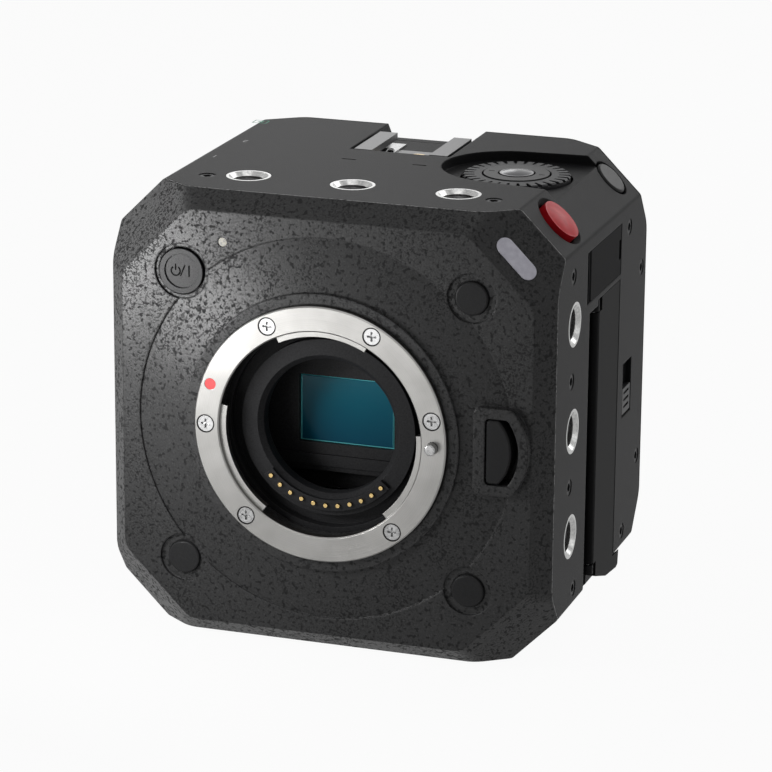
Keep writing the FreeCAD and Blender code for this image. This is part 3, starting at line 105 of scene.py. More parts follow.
def between(tree, factor, first, second):
    """A colour that runs from first to second as factor goes from 0 to 1."""
    mix = tree.nodes.new("ShaderNodeMix")
    mix.data_type = "RGBA"
    tree.links.new(factor, mix.inputs[0])
    for socket, value in ((mix.inputs[6], first), (mix.inputs[7], second)):
        if isinstance(value, tuple):
            socket.default_value = (*value, 1.0)
        else:
            tree.links.new(value, socket)
    return mix.outputs[2]


def tint(tree, shader, pattern, dark, pale):
    """Let the base colour run from dark to pale with the pattern."""
    tree.links.new(between(tree, pattern, dark, pale), shader.inputs["Base Color"])


def roughen(tree, shader, pattern, at_low, at_high):
    """Let the roughness follow the pattern."""
    tree.links.new(levels(tree, pattern, 0.0, 1.0, at_low, at_high), shader.inputs["Roughness"])


def shades(colour, *shares):
    """Darker and paler shades of one colour."""
    return [tuple(share * c for c in colour) for share in shares]


def texture_up(tree, shader, height, depth, edge=0.0):
    """Raise the surface by depth mm where height is 1, with its sharp edges broken by edge mm."""
    bump = tree.nodes.new("ShaderNodeBump")
    bump.inputs["Distance"].default_value = depth * mm
    tree.links.new(height, bump.inputs["Height"])
    if edge:
        broken = tree.nodes.new("ShaderNodeBevel")
        broken.samples = EDGE_SAMPLES
        broken.inputs["Radius"].default_value = edge * mm
        tree.links.new(broken.outputs["Normal"], bump.inputs["Normal"])
    tree.links.new(bump.outputs["Normal"], shader.inputs["Normal"])


def dress(coat, *names):
    """Give the named pieces this finish."""
    for name in names:
        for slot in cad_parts[name].material_slots:
            slot.material = coat


speckled, tree, shader, place = new_coat("speckled_grey_coat", rough=0.35, shine=0.18)
fine = grain(tree, place, size=0.42, low=0.30, high=0.72, detail=3.0)
patches = grain(tree, place, size=9.0, low=0.30, high=0.70)
specks = grain(tree, place, size=0.85, low=0.55, high=0.66, detail=1.0)
small_specks = grain(tree, place, size=0.40, low=0.54, high=0.64, detail=0.0)
specks = math_of(tree, "MAXIMUM", specks, math_of(tree, "MULTIPLY", small_specks, patches))
specks = math_of(tree, "MULTIPLY", specks, SPECK_COVER)
flecks = grain(tree, place, size=0.33, low=0.60, high=0.72, detail=1.0)
dark, pale, palest = shades(COVER_GREY, 0.80, 1.22, FLECK_PALE)
base = between(tree, fine, dark, pale)
base = between(tree, math_of(tree, "MULTIPLY", flecks, FLECK_COVER), base, palest)
tint(tree, shader, specks, base, COVER_SPECK)
roughen(tree, shader, specks, at_low=0.35, at_high=0.80)
relief = math_of(tree, "SUBTRACT", math_of(tree, "MULTIPLY", fine, FINE_RELIEF), specks)
texture_up(tree, shader, relief, depth=0.018, edge=0.5)
dress(speckled, "front_cover")

# Main shell and rear cover: a cast tube and a plate that closes its back, screwed together from the outside.
# Both have a smoother, darker coat than the front, with a fine even grain.
SHELL_DARK = (0.0115, 0.0115, 0.0120)
SHELL_WORN = (0.006, 0.006, 0.0065)
WORN_COVER = 0.35
shell_coat, tree, shader, place = new_coat("fine_dark_coat", rough=0.42, shine=0.03)
fine = grain(tree, place, size=0.30, low=0.25, high=0.75, detail=3.0)
patches = grain(tree, place, size=2.6, low=0.35, high=0.70, detail=3.0)
dark, pale = shades(SHELL_DARK, 0.75, 1.30)
tint(tree, shader, math_of(tree, "MULTIPLY", patches, WORN_COVER), between(tree, fine, dark, pale), SHELL_WORN)
texture_up(tree, shader, fine, depth=0.024, edge=0.45)
dress(shell_coat, "main_shell", "rear_cover")

# Chassis plate and heat sink: sand-cast aluminium, left bare, behind the sensor. They only show through
# the louvre and the sockets' ends.
cast, tree, shader, place = new_coat("bare_cast_aluminium", rough=0.55, shine=0.5, metal=1.0)
pits = grain(tree, place, size=0.5, low=0.3, high=0.7, detail=4.0)
tint(tree, shader, pits, dark=(0.42, 0.43, 0.44), pale=(0.62, 0.63, 0.64))
texture_up(tree, shader, pits, depth=0.03, edge=0.1)
dress(cast, "inner_frame", "heat_sink")

# Main board: woven glass fibre under a green solder mask, with copper runs that show faintly. It stands on the
# posts of the rear cover and carries the sockets at the back.
mask, tree, shader, place = new_coat("green_solder_mask", rough=0.32, shine=0.5)
runs = grain(tree, place, size=1.6, low=0.48, high=0.52, detail=0.0, stretch=(1.0, 1.0, 0.18))
tint(tree, shader, runs, dark=(0.004, 0.045, 0.020), pale=(0.010, 0.085, 0.036))
texture_up(tree, shader, runs, depth=0.02)
dress(mask, "main_board")

# Fan, louvre, card slot, dial hub, audio jacks and battery plate: moulded black plastic with a spark-eroded
# texture from the mould.
moulded, tree, shader, place = new_coat("moulded_black_plastic", rough=0.44, shine=0.10)
eroded = grain(tree, place, size=0.22, low=0.3, high=0.7, detail=2.0)
tint(tree, shader, eroded, dark=(0.006, 0.006, 0.0063), pale=(0.012, 0.012, 0.0125))
texture_up(tree, shader, eroded, depth=0.012, edge=0.12)
dress(moulded, "fan_housing", "fan_rotor", "vent_louvre", "card_slot", "dial_hub", "dial_pad_seat",
      "audio_jacks", "battery_plate")

# Lens ring: stainless steel, turned on a lathe and given a satin finish, so that fine rings follow its face.
# It lies on the cover's register. Round each of the six screws that hold it, a thin dark ring of painted shade
# stands for the shaded gap at the screw's head.
LENS_Z = 46.5
RING_SCREW_R = 24
RING_SCREW_TURNS = (117, 63, 13, -50, -130, 180)
RING_HEAD_R = 1.65
SHADE_RING_FROM = 0.22
SHADE_RING_TO = 0.30
SHADE_RING_DARK = (0.010, 0.010, 0.010)
NO_SCREW_NEAR = 99.0


def turned_lines(tree, place, pitch, across, centre):
    """Fine tool lines round an axis: noise that only changes with the distance from it."""
    parts = tree.nodes.new("ShaderNodeSeparateXYZ")
    tree.links.new(place, parts.inputs["Vector"])
    first, second = (parts.outputs[axis.upper()] for axis in across)
    a = math_of(tree, "SUBTRACT", first, centre[0])
    b = math_of(tree, "SUBTRACT", second, centre[1])
    squares = math_of(tree, "ADD", math_of(tree, "MULTIPLY", a, a), math_of(tree, "MULTIPLY", b, b))
    out = math_of(tree, "SQRT", squares)
    noise = tree.nodes.new("ShaderNodeTexNoise")
    noise.noise_dimensions = "1D"
    noise.inputs["Scale"].default_value = 1.0 / pitch
    noise.inputs["Detail"].default_value = 2.0
    tree.links.new(out, noise.inputs["W"])
    return levels(tree, noise.outputs[0], 0.3, 0.7)


satin_steel, tree, shader, place = new_coat("satin_turned_steel", rough=0.24, shine=0.5, metal=1.0)
lines = turned_lines(tree, place, 0.10, "xz", (0.0, LENS_Z))
smear = grain(tree, place, size=6.0, low=0.3, high=0.7)
tone = math_of(tree, "MULTIPLY", math_of(tree, "ADD", lines, smear), 0.5)
steel = between(tree, tone, (0.20, 0.197, 0.19), (0.27, 0.266, 0.257))
flat = tree.nodes.new("ShaderNodeVectorMath")
flat.operation = "MULTIPLY"
flat.inputs[1].default_value = (1.0, 0.0, 1.0)
tree.links.new(place, flat.inputs[0])
near = NO_SCREW_NEAR
for turn in RING_SCREW_TURNS:
    span = tree.nodes.new("ShaderNodeVectorMath")
    span.operation = "DISTANCE"
    reach = Vector((math.cos(math.radians(turn)), 0.0, math.sin(math.radians(turn)))) * RING_SCREW_R
    span.inputs[1].default_value = reach + Vector((0.0, 0.0, LENS_Z))
    tree.links.new(flat.outputs["Vector"], span.inputs[0])
    near = math_of(tree, "MINIMUM", span.outputs["Value"], near)
# Painted shade: a thin dark ring in the steel's colour round each screw head, where the gap would be in shade.
painted_gap_shade = levels(tree, near, RING_HEAD_R + SHADE_RING_FROM, RING_HEAD_R + SHADE_RING_TO, 1.0, 0.0)
tint(tree, shader, painted_gap_shade, steel, SHADE_RING_DARK)
roughen(tree, shader, lines, at_low=0.28, at_high=0.36)
texture_up(tree, shader, lines, depth=0.004, edge=0.10)
dress(satin_steel, "lens_ring")

# Screws of the ring, leaf springs, lock pin, hinge pins and the shoe's spring: small parts of stainless steel,
# tumbled until they are smooth. The screws are driven in from the front, and the pins are pressed in.
bright_steel, tree, shader, place = new_coat("bright_steel", rough=0.28, shine=0.5, metal=1.0)
rub = grain(tree, place, size=0.6, low=0.3, high=0.7, detail=4.0)
tint(tree, shader, rub, dark=(0.24, 0.24, 0.24), pale=(0.34, 0.34, 0.34))
roughen(tree, shader, rub, at_low=0.22, at_high=0.36)
texture_up(tree, shader, rub, depth=0.004, edge=0.06)
dress(bright_steel, "ring_screws", "ring_springs", "lock_pin", "door_pin", "cover_pin", "shoe_spring")

# Index dot: a drop of red enamel that a lens is lined up with. It is let into a drilled seat in the ring's
# face.
enamel, tree, shader, place = new_coat("red_enamel", rough=0.25, shine=0.5)
pool = grain(tree, place, size=0.9, low=0.3, high=0.7)
tint(tree, shader, pool, dark=(0.36, 0.010, 0.012), pale=(0.46, 0.016, 0.018))
texture_up(tree, shader, pool, depth=0.01)
dress(enamel, "index_dot")

# Light shield: a stepped cup moulded in black plastic behind the ring, matt so that no stray light returns.
# Its lower half carries the strip with the lens's contacts. The sensor's holder and board are as matt.
matt, tree, shader, place = new_coat("matt_black_shield", rough=0.55, shine=0.10)
bloom = grain(tree, place, size=0.35, low=0.3, high=0.7, detail=3.0)
tint(tree, shader, bloom, dark=(0.007, 0.007, 0.0075), pale=(0.016, 0.016, 0.017))
texture_up(tree, shader, bloom, depth=0.010, edge=0.15)
dress(matt, "light_shield", "contact_strip", "sensor_holder", "sensor_board")

# Contacts of the lens, the shoe and the battery: pins and blades of copper alloy with a hard gold plating.
# They are pressed into their mouldings.
gold, tree, shader, place = new_coat("plated_gold", rough=0.25, shine=0.5, metal=1.0)
rub = grain(tree, place, size=0.3, low=0.3, high=0.7)
tint(tree, shader, rub, dark=(0.40, 0.28, 0.11), pale=(0.56, 0.41, 0.19))
texture_up(tree, shader, rub, depth=0.003, edge=0.05)
dress(gold, "contact_pins", "shoe_contacts", "battery_terminals")

# Sensor: a silicon chip in a black frame under coated glass. The coating throws back blue-green light. The
# glass's colour is made paler towards the top as painted light, and has a painted highlight, a thin bright line
# along the glass's bevelled edge.
GLASS_HALF = (10.2, 7.1)
GLINT_FROM = 0.945
GLINT_TO = 0.965
CLOUD_COVER = 0.3
coated_glass, tree, shader, place = new_coat("coated_sensor_glass", rough=0.12, shine=0.06)
parts = tree.nodes.new("ShaderNodeSeparateXYZ")
tree.links.new(place, parts.inputs["Vector"])
side = math_of(tree, "DIVIDE", math_of(tree, "ABSOLUTE", parts.outputs["X"]), GLASS_HALF[0])
above = math_of(tree, "SUBTRACT", parts.outputs["Z"], LENS_Z)
up = math_of(tree, "DIVIDE", math_of(tree, "ABSOLUTE", above), GLASS_HALF[1])
# Painted highlight: a thin bright blue-green line in the colour along the glass's edge.
painted_edge_glint = levels(tree, math_of(tree, "MAXIMUM", side, up), GLINT_FROM, GLINT_TO)
# Painted light: the glass is coloured paler towards its top.
painted_top_light = levels(tree, parts.outputs["Z"], LENS_Z - GLASS_HALF[1], LENS_Z + GLASS_HALF[1])
cloud = grain(tree, place, size=5.0, low=0.25, high=0.75)
deep_painted_light = between(tree, painted_top_light, (0.001, 0.034, 0.060), (0.003, 0.080, 0.112))
deep_painted_light = between(tree, math_of(tree, "MULTIPLY", cloud, CLOUD_COVER), deep_painted_light, (0.002, 0.050, 0.085))
tint(tree, shader, painted_edge_glint, deep_painted_light, pale=(0.13, 0.56, 0.60))
texture_up(tree, shader, cloud, depth=0.002)
dress(coated_glass, "sensor_glass", "sensor_chip")

# Lens release, corner caps, chamfer buttons, dial pad, lock slider and battery catch: black ABS keys with a
# satin face, a little smoother than the body.
key_plastic, tree, shader, place = new_coat("satin_black_key", rough=0.36, shine=0.09)
eroded = grain(tree, place, size=0.18, low=0.3, high=0.7)
tint(tree, shader, eroded, dark=(0.012, 0.012, 0.0125), pale=(0.020, 0.020, 0.0205))
texture_up(tree, shader, eroded, depth=0.006, edge=0.18)
dress(key_plastic, "release_button", "screw_caps", "power_button", "function_button", "left_button_a",
      "left_button_b", "left_button_c", "dial_pad", "lock_slider", "battery_release")

# Power button: the standard on/off sign, a stroke and a bar, engraved in its dished face and filled with
# black ink.
INK_THICK = 0.012
POWER_DISH = 0.35
BOW_X, BOW_Y, BOW_R, BOW_WIDE = -1.25, -0.1, 0.95, 0.30
BOW_FROM, BOW_TO, BOW_STEPS = 125, 415, 18
STROKE_LOW, STROKE_HIGH = 0.05, 1.35
SLASH_FROM, SLASH_TO, SLASH_WIDE = (-0.25, -1.15), (0.75, 1.25), 0.26
ON_BAR_X, ON_BAR_LOW, ON_BAR_HIGH = 1.6, -1.15, 1.2


def sheet_of(name, shapes, origin, right, up, coat, body):
    """Flat inked shapes, each a list of points in mm, laid on a face at origin."""
    right, up = Vector(right).normalized(), Vector(up).normalized()
    out = right.cross(up)
    points, faces = [], []
    for shape in shapes:
        start, count = len(points), len(shape)
        for lift in (0.0, INK_THICK):
            for x, y in shape:
                points.append((Vector(origin) + right * x + up * y + out * lift) * mm)
        faces.append(tuple(range(start + count, start + 2 * count)))
        faces.append(tuple(range(start + count - 1, start - 1, -1)))
        for k in range(count):
            n = (k + 1) % count
            faces.append((start + k, start + n, start + count + n, start + count + k))
    mesh = bpy.data.meshes.new(name)
    mesh.from_pydata(points, [], faces)
    piece = bpy.data.objects.new(name, mesh)
    bpy.context.scene.collection.objects.link(piece)
    mesh.materials.append(coat)
    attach(piece, body)


def bar_shape(x0, y0, x1, y1, wide):
    """The four corners of a straight stroke."""
    a, b = Vector((x0, y0)), Vector((x1, y1))
    across = (b - a).normalized().orthogonal() * wide / 2
    return [tuple(p) for p in (a - across, b - across, b + across, a + across)]


def bow_shapes(x, y, r, wide, start, end):
    """A bent stroke from start to end degrees, as short pieces."""
    shapes = []
    for k in range(BOW_STEPS):
        a = math.radians(start + (end - start) * k / BOW_STEPS)
        b = math.radians(start + (end - start) * (k + 1) / BOW_STEPS)
        ring = [(r - wide / 2, a), (r + wide / 2, a), (r + wide / 2, b), (r - wide / 2, b)]
        shapes.append([(x + q * math.cos(t), y + q * math.sin(t)) for q, t in ring])
    return shapes


black_ink, tree, shader, place = new_coat("black_ink", rough=0.80, shine=0.0)
dry = grain(tree, place, size=0.15, low=0.3, high=0.7)
tint(tree, shader, dry, dark=(0.001, 0.001, 0.001), pale=(0.003, 0.003, 0.003))
low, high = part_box("power_button")
POWER_X, POWER_Z = (low.x + high.x) / 2 / mm, (low.z + high.z) / 2 / mm
power_sign = bow_shapes(BOW_X, BOW_Y, BOW_R, BOW_WIDE, BOW_FROM, BOW_TO)
power_sign.append(bar_shape(BOW_X, STROKE_LOW, BOW_X, STROKE_HIGH, BOW_WIDE))
power_sign.append(bar_shape(*SLASH_FROM, *SLASH_TO, SLASH_WIDE))
power_sign.append(bar_shape(ON_BAR_X, ON_BAR_LOW, ON_BAR_X, ON_BAR_HIGH, BOW_WIDE))
sheet_of("power_sign", power_sign, (POWER_X, low.y / mm + POWER_DISH, POWER_Z), (1, 0, 0), (0, 0, 1), black_ink,
         "power")

# Status light: a small clear lens over a pale yellow diode, pressed into the front cover above the power
# button. It is unlit here.
lens_clear, tree, shader, place = new_coat("pale_yellow_lens", rough=0.18, shine=0.5)
glow = grain(tree, place, size=0.5, low=0.3, high=0.7)
tint(tree, shader, glow, dark=(0.045, 0.040, 0.026), pale=(0.10, 0.092, 0.055))
dress(lens_clear, "status_led")

# Tally lamp: a window of frosted plastic let into the corner facet, with a thin gloss over it. The lamp behind
# it is unlit, so it shows a cool grey.
frosted, tree, shader, place = new_coat("frosted_window", rough=0.38, shine=0.5)
shader.inputs["Coat Weight"].default_value = 0.3
veil = grain(tree, place, size=1.2, low=0.3, high=0.7, detail=3.0)
tint(tree, shader, veil, dark=(0.46, 0.45, 0.52), pale=(0.58, 0.57, 0.64))
texture_up(tree, shader, veil, depth=0.01, edge=0.3)
dress(frosted, "tally_lamp")

# Record button: a domed red cap, moulded in gloss plastic, that stands in a round recess of the right
# chamfer and is pressed square to it.
red_gloss, tree, shader, place = new_coat("red_gloss_cap", rough=0.32, shine=0.08)
swirl = grain(tree, place, size=1.4, low=0.3, high=0.7)
tint(tree, shader, swirl, dark=(0.40, 0.006, 0.012), pale=(0.50, 0.010, 0.018))
texture_up(tree, shader, swirl, depth=0.004, edge=0.3)
dress(red_gloss, "record_button")

# Control dial: an anodised aluminium wheel with milled notches, a rocking pad inside it and a polished
# button in the middle. It turns on a fixed hub in a well of the shell, and two strokes mark the pad.
PAD_MARK_FROM = 4.7
PAD_MARK_TO = 5.9
PAD_MARK_WIDE = 0.28
low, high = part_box("control_dial")
DIAL_X, DIAL_Y = (low.x + high.x) / 2 / mm, (low.y + high.y) / 2 / mm
anodised, tree, shader, place = new_coat("black_anodised", rough=0.45, shine=0.15)
lines = turned_lines(tree, place, 0.08, "xy", (DIAL_X, DIAL_Y))
tint(tree, shader, lines, dark=(0.012, 0.012, 0.013), pale=(0.026, 0.026, 0.028))
texture_up(tree, shader, lines, depth=0.004, edge=0.10)
dress(anodised, "control_dial")

polished, tree, shader, place = new_coat("polished_button", rough=0.20, shine=0.5, metal=1.0)
lines = turned_lines(tree, place, 0.12, "xy", (DIAL_X, DIAL_Y))
tint(tree, shader, lines, dark=(0.06, 0.06, 0.063), pale=(0.10, 0.10, 0.105))
texture_up(tree, shader, lines, depth=0.003, edge=0.15)
dress(polished, "dial_button")

pad_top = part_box("dial_pad")[1].z / mm
pad_marks = [bar_shape(s * PAD_MARK_FROM, 0.0, s * PAD_MARK_TO, 0.0, PAD_MARK_WIDE) for s in (-1, 1)]
sheet_of("pad_marks", pad_marks, (DIAL_X, DIAL_Y, pad_top), (1, 0, 0), (0, 1, 0), black_ink, "pad")

# Accessory shoe: rails folded from steel sheet and painted black, over a bright spring plate. They stand on
# the floor of a channel that is open to the rear.
shoe_paint, tree, shader, place = new_coat("black_shoe_paint", rough=0.34, shine=0.5)
rub = grain(tree, place, size=0.8, low=0.3, high=0.7, detail=3.0)
tint(tree, shader, rub, dark=(0.012, 0.012, 0.013), pale=(0.020, 0.020, 0.021))
texture_up(tree, shader, rub, depth=0.004, edge=0.15)
dress(shoe_paint, "shoe_rails")

# Sockets: stainless steel inserts with a bevelled mouth, pressed into the shell and tapped a quarter inch
# by twenty turns to the inch. The thread is cut here as a real helix.
PITCH = 1.27
THREAD_OUT = 3.165
THREAD_IN = 2.62
THREAD_FROM = 0.7
THREAD_TO = 7.4
THREAD_FLAT = 0.08
THREAD_CREST = 0.52
FADE_STEPS = 10
TURN_STEPS = 28


def thread_at(points, faces, mouth, inward, first, last):
    """One helical ridge down a hole, from depth first to depth last, in mm."""
    inward = Vector(inward)
    right = inward.orthogonal().normalized()
    up = inward.cross(right)
    steps = int(TURN_STEPS * (last - first - PITCH) / PITCH)
    start = len(points)
    for k in range(steps + 1):
        a = 2 * math.pi * k / TURN_STEPS
        swell = min(1.0, k / FADE_STEPS, (steps - k) / FADE_STEPS)
        depth = first + PITCH * k / TURN_STEPS
        way = right * math.cos(a) + up * math.sin(a)
        crest = THREAD_OUT - (THREAD_OUT - THREAD_IN) * swell
        corners = ((THREAD_OUT, THREAD_FLAT), (crest, THREAD_CREST * PITCH), (THREAD_OUT, PITCH - THREAD_FLAT))
        for r, along in corners:
            points.append((Vector(mouth) + inward * (depth + along) + way * r) * mm)
    for k in range(steps):
        for j in range(3):
            n = (j + 1) % 3
            a, b = start + 3 * k, start + 3 * (k + 1)
            faces.append((a + j, a + n, b + n, b + j))
    faces.append((start, start + 2, start + 1))
    faces.append((start + 3 * steps, start + 3 * steps + 1, start + 3 * steps + 2))


shell_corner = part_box("main_shell")[1]
HALF = shell_corner.x / mm
TALL = shell_corner.z / mm
SOCKET_Y = -18.2
BASE_Y = 16.9
STEP = 22.1
sockets = [((s * STEP, SOCKET_Y, TALL), (0, 0, -1)) for s in (-1, 0, 1)]
sockets += [((HALF, SOCKET_Y, LENS_Z + s * STEP), (-1, 0, 0)) for s in (-1, 0, 1)]
sockets += [((-HALF, SOCKET_Y, LENS_Z + s * STEP), (1, 0, 0)) for s in (-1, 0, 1)]
sockets += [((0, SOCKET_Y, 0), (0, 0, 1)), ((0, BASE_Y, 0), (0, 0, 1))]
points, faces = [], []
for mouth, inward in sockets:
    thread_at(points, faces, mouth, inward, THREAD_FROM, THREAD_TO)
mesh = bpy.data.meshes.new("socket_threads")
mesh.from_pydata(points, [], faces)
threads = bpy.data.objects.new("socket_threads", mesh)
bpy.context.scene.collection.objects.link(threads)
# Painted shade: the thread's steel is coloured far darker than the insert's, as the shade down the bore.
shaded_thread_steel, tree, shader, place = new_coat("thread_steel_painted_shade", rough=0.34, shine=0.5, metal=1.0)
thread_mottle = grain(tree, place, size=0.5, low=0.3, high=0.7, detail=3.0)
tint(tree, shader, thread_mottle, dark=(0.035, 0.035, 0.035), pale=(0.07, 0.07, 0.07))
mesh.materials.append(shaded_thread_steel)
insert_steel, tree, shader, place = new_coat("turned_insert_steel", rough=0.26, shine=0.5, metal=1.0)
rub = grain(tree, place, size=0.5, low=0.3, high=0.7, detail=3.0)
tint(tree, shader, rub, dark=(0.30, 0.30, 0.30), pale=(0.42, 0.42, 0.41))
texture_up(tree, shader, rub, depth=0.004, edge=0.12)
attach(threads, "body")
dress(insert_steel, "socket_inserts")

# Case screws: steel with a black oxide finish and a hexagon key, sunk a little below the shell's surface.
# They go through the shell into the covers.
oxide, tree, shader, place = new_coat("black_oxide", rough=0.45, shine=0.2)
rub = grain(tree, place, size=0.4, low=0.3, high=0.7)
tint(tree, shader, rub, dark=(0.005, 0.005, 0.0055), pale=(0.012, 0.012, 0.013))
texture_up(tree, shader, rub, depth=0.004, edge=0.10)
dress(oxide, "case_screws")

# Card door: a flat lid, moulded and sprayed in a dark coat like the shell's. It hangs on a steel pin through
# its knuckles, and a slider locks it.
door_coat, tree, shader, place = new_coat("door_dark_coat", rough=0.48, shine=0.02)
fine = grain(tree, place, size=0.30, low=0.25, high=0.75, detail=3.0)
tint(tree, shader, fine, dark=(0.006, 0.006, 0.0063), pale=(0.012, 0.012, 0.0124))
texture_up(tree, shader, fine, depth=0.010, edge=0.22)
dress(door_coat, "card_door")

# Side cover: moulded in a soft elastomer, matt and slightly dusty in its grain. It closes the side sockets
# and hangs on its own pin.
soft, tree, shader, place = new_coat("soft_cover_rubber", rough=0.60, shine=0.02)
dust = grain(tree, place, size=0.25, low=0.3, high=0.7, detail=3.0)
tint(tree, shader, dust, dark=(0.008, 0.008, 0.0085), pale=(0.015, 0.015, 0.0155))
texture_up(tree, shader, dust, depth=0.012, edge=0.20)
dress(soft, "side_cover")

# Plug sockets at the back and side: metal shells, nickel plated. Those at the back stand on the main board
# and show in the holes of the rear cover.
nickel, tree, shader, place = new_coat("nickel_plate", rough=0.30, shine=0.5, metal=1.0)
rub = grain(tree, place, size=0.7, low=0.3, high=0.7, detail=3.0)
tint(tree, shader, rub, dark=(0.27, 0.265, 0.25), pale=(0.38, 0.37, 0.355))
texture_up(tree, shader, rub, depth=0.004, edge=0.12)
dress(nickel, "side_sockets", "dc_socket", "control_socket", "sync_socket", "network_socket", "video_socket")

# Marks beside the left buttons: silk-screened on the top to be read from behind. A green play triangle for
# the rear button, plain numbers for the other two.
PRINT_THICK = 0.006
PRINT_LINE = 0.22
PLAY_HALF_X, PLAY_HALF_Y = 1.5, 1.25
PLAY_SIGN = [(-0.55, -0.75), (0.85, 0.0), (-0.55, 0.75)]
PLAY_AT = (-37.0, 28.7)
NUMBER_SIZE = 2.4


def screened_ink(name, colour):
    """Ink of one colour, a little thin in places."""
    ink, tree, shader, place = new_coat(name, rough=0.5, shine=0.3)
    thin = grain(tree, place, size=0.12, low=0.25, high=0.75)
    tint(tree, shader, thin, tuple(0.8 * c for c in colour), colour)
    return ink


green_ink = screened_ink("green_ink", (0.03, 0.26, 0.15))
white_ink = screened_ink("white_ink", (0.42, 0.42, 0.42))
play = [PLAY_SIGN]
play += [bar_shape(-PLAY_HALF_X, s * PLAY_HALF_Y, PLAY_HALF_X, s * PLAY_HALF_Y, PRINT_LINE) for s in (-1, 1)]
play += [bar_shape(s * PLAY_HALF_X, -PLAY_HALF_Y, s * PLAY_HALF_X, PLAY_HALF_Y, PRINT_LINE) for s in (-1, 1)]
sheet_of("play_mark", play, (*PLAY_AT, TALL), (-1, 0, 0), (0, -1, 0), green_ink, "body")


def number_mark(name, words, x, y):
    """A plain number at x, y on the top, turned to be read from behind."""
    text = bpy.data.curves.new(name + "_text", "FONT")
    text.body = words
    text.size = NUMBER_SIZE * mm
    text.extrude = PRINT_THICK * mm
    text.resolution_u = 4
    text.align_x = "CENTER"
    text.align_y = "CENTER"
    holder = bpy.data.objects.new(name + "_holder", text)
    bpy.context.scene.collection.objects.link(holder)
    bpy.context.view_layer.update()
    mesh = bpy.data.meshes.new_from_object(holder)
    bpy.data.objects.remove(holder)
    place = Matrix.Translation((x * mm, y * mm, (TALL + PRINT_THICK) * mm))
    mesh.transform(place @ Matrix.Rotation(math.pi, 4, "Z"))
    mesh.name = name
    mesh.materials.clear()
    mesh.materials.append(white_ink)
    piece = bpy.data.objects.new(name, mesh)
    bpy.context.scene.collection.objects.link(piece)
    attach(piece, "body")


number_mark("number_two", "2", -33.6, 10.4)
number_mark("number_one", "1", -34.6, -4.7)

# Lamps: seven soft boxes of cloth over a frame. Two small ones stand close in front of the cover, and the
# others light the top, the sides and the back from further off. Places and sizes are in metres.


def lamp(name, at, size, power, aim):
    """A soft box that the camera doesn't see."""
    light = bpy.data.lights.new(name, "AREA")
    light.shape = "RECTANGLE"
    light.size, light.size_y = size
    light.energy = power
    holder = bpy.data.objects.new(name, light)
    holder.location = at
    holder.rotation_euler = (Vector(aim) - Vector(at)).to_track_quat("-Z", "Y").to_euler()
    holder.visible_camera = False
    bpy.context.scene.collection.objects.link(holder)


lamp("key_softbox", at=(-0.060, -0.085, 0.066), size=(0.03, 0.03), power=0.09,
     aim=(-0.036, -0.036, 0.066))
lamp("front_softbox", at=(-0.07, -0.19, 0.02), size=(0.08, 0.08), power=0.08,
     aim=(-0.036, -0.036, 0.060))
lamp("top_softbox", at=(0.08, -0.12, 0.55), size=(0.30, 0.30), power=0.35,
     aim=(0.010, -0.020, 0.090))
lamp("left_softbox", at=(-0.50, 0.02, 0.26), size=(0.20, 0.30), power=0.5,
     aim=(-0.045, 0.0, 0.050))
lamp("back_softbox", at=(-0.28, 0.62, 0.32), size=(0.22, 0.22), power=0.20,
     aim=(-0.010, 0.030, 0.080))
lamp("rear_softbox", at=(0.30, 0.55, 0.45), size=(0.40, 0.40), power=1.6,
     aim=(0.0, 0.040, 0.050))
lamp("right_softbox", at=(0.60, 0.05, 0.20), size=(0.30, 0.30), power=0.3,
     aim=(0.045, 0.0, 0.050))

# Room: pale walls all round, which look white to the camera and in what mirrors them, and give the object only
# a weak even light.
WHITE = (1.0, 1.0, 1.0, 1.0)
ROOM_LIGHT = 0.22
ROOM_SEEN = 1.0


def seen_or_mirrored(tree):
    """1 for what the camera sees, straight, mirrored or through glass, and 0 for what only lights."""
    ray = tree.nodes.new("ShaderNodeLightPath")
    mirrored = math_of(tree, "MAXIMUM", ray.outputs["Is Glossy Ray"], ray.outputs["Is Transmission Ray"])
    return math_of(tree, "MAXIMUM", ray.outputs["Is Camera Ray"], mirrored)


room = bpy.data.worlds.new("pale_room")
bpy.context.scene.world = room
room.use_nodes = True
tree = room.node_tree
tree.nodes.clear()
pick = tree.nodes.new("ShaderNodeMixShader")
tree.links.new(seen_or_mirrored(tree), pick.inputs[0])
for socket, strength in zip(pick.inputs[1:], (ROOM_LIGHT, ROOM_SEEN)):
    wall = tree.nodes.new("ShaderNodeBackground")
    wall.inputs["Color"].default_value = WHITE
    wall.inputs["Strength"].default_value = strength
    tree.links.new(wall.outputs[0], socket)
world_out = tree.nodes.new("ShaderNodeOutputWorld")
tree.links.new(pick.outputs[0], world_out.inputs["Surface"])

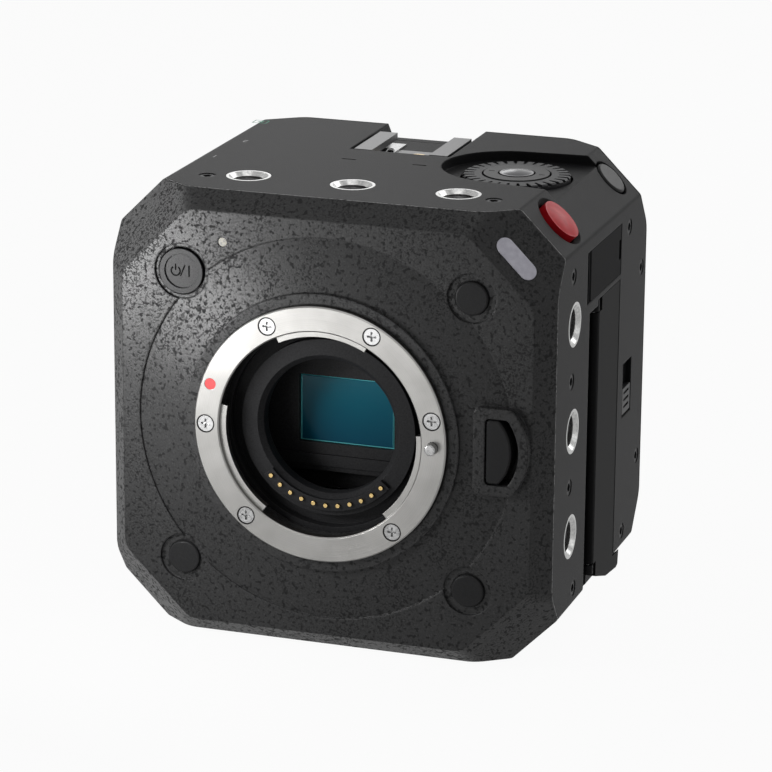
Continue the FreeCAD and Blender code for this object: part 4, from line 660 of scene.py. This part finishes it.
# Floor: a sheet of white paper that the object stands on. Its own shading keeps the object's shadow, and a
# glow that only the camera and mirrors see lifts it towards white.
FLOOR_WIDE = 8.0
FLOOR_DROP = 0.0002
FLOOR_LIFT = 0.95
bpy.ops.mesh.primitive_plane_add(size=FLOOR_WIDE, location=(0, 0, -FLOOR_DROP))
floor = bpy.context.object
floor.name = "floor"
paper, tree, shader, place = new_coat("white_paper", rough=0.8, shine=0.1)
fibre = grain(tree, place, size=4.0, low=0.3, high=0.7)
tint(tree, shader, fibre, dark=(0.44, 0.44, 0.44), pale=(0.46, 0.46, 0.46))
glow = tree.nodes.new("ShaderNodeEmission")
glow.inputs["Color"].default_value = WHITE
lifted = tree.nodes.new("ShaderNodeMixShader")
tree.links.new(math_of(tree, "MULTIPLY", seen_or_mirrored(tree), FLOOR_LIFT), lifted.inputs[0])
tree.links.new(shader.outputs[0], lifted.inputs[1])
tree.links.new(glow.outputs[0], lifted.inputs[2])
tree.links.new(lifted.outputs[0], tree.nodes["Material Output"].inputs["Surface"])
floor.data.materials.append(paper)

# Camera: a long lens on a tripod, to the right of the object and above it, rolled by half a degree. The angles
# are in degrees, the focal length and the sensor in millimetres.
AZIMUTH, ELEVATION, ROLL = (math.radians(a) for a in (18.475, 16.795, 0.46))
TARGET = Vector((0.477, 2.3, 45.38)) * mm
FAR = 760.05 * mm
FOCAL_LENGTH = 170.57
SENSOR_WIDE = 36.0
back = Vector((math.sin(AZIMUTH) * math.cos(ELEVATION), -math.cos(AZIMUTH) * math.cos(ELEVATION),
               math.sin(ELEVATION)))
right = Vector((math.cos(AZIMUTH), math.sin(AZIMUTH), 0.0))
up = back.cross(right)
across = right * math.cos(ROLL) + up * math.sin(ROLL)
upward = up * math.cos(ROLL) - right * math.sin(ROLL)
camera = bpy.data.cameras.new("camera")
camera.sensor_width = SENSOR_WIDE
camera.lens = FOCAL_LENGTH
camera.clip_start = 0.01
holder = bpy.data.objects.new("camera", camera)
turn = Matrix((across, upward, back)).transposed().to_4x4()
holder.matrix_world = Matrix.Translation(TARGET + back * FAR) @ turn
bpy.context.scene.collection.objects.link(holder)
bpy.context.scene.camera = holder
bpy.context.scene.view_settings.view_transform = "Standard"
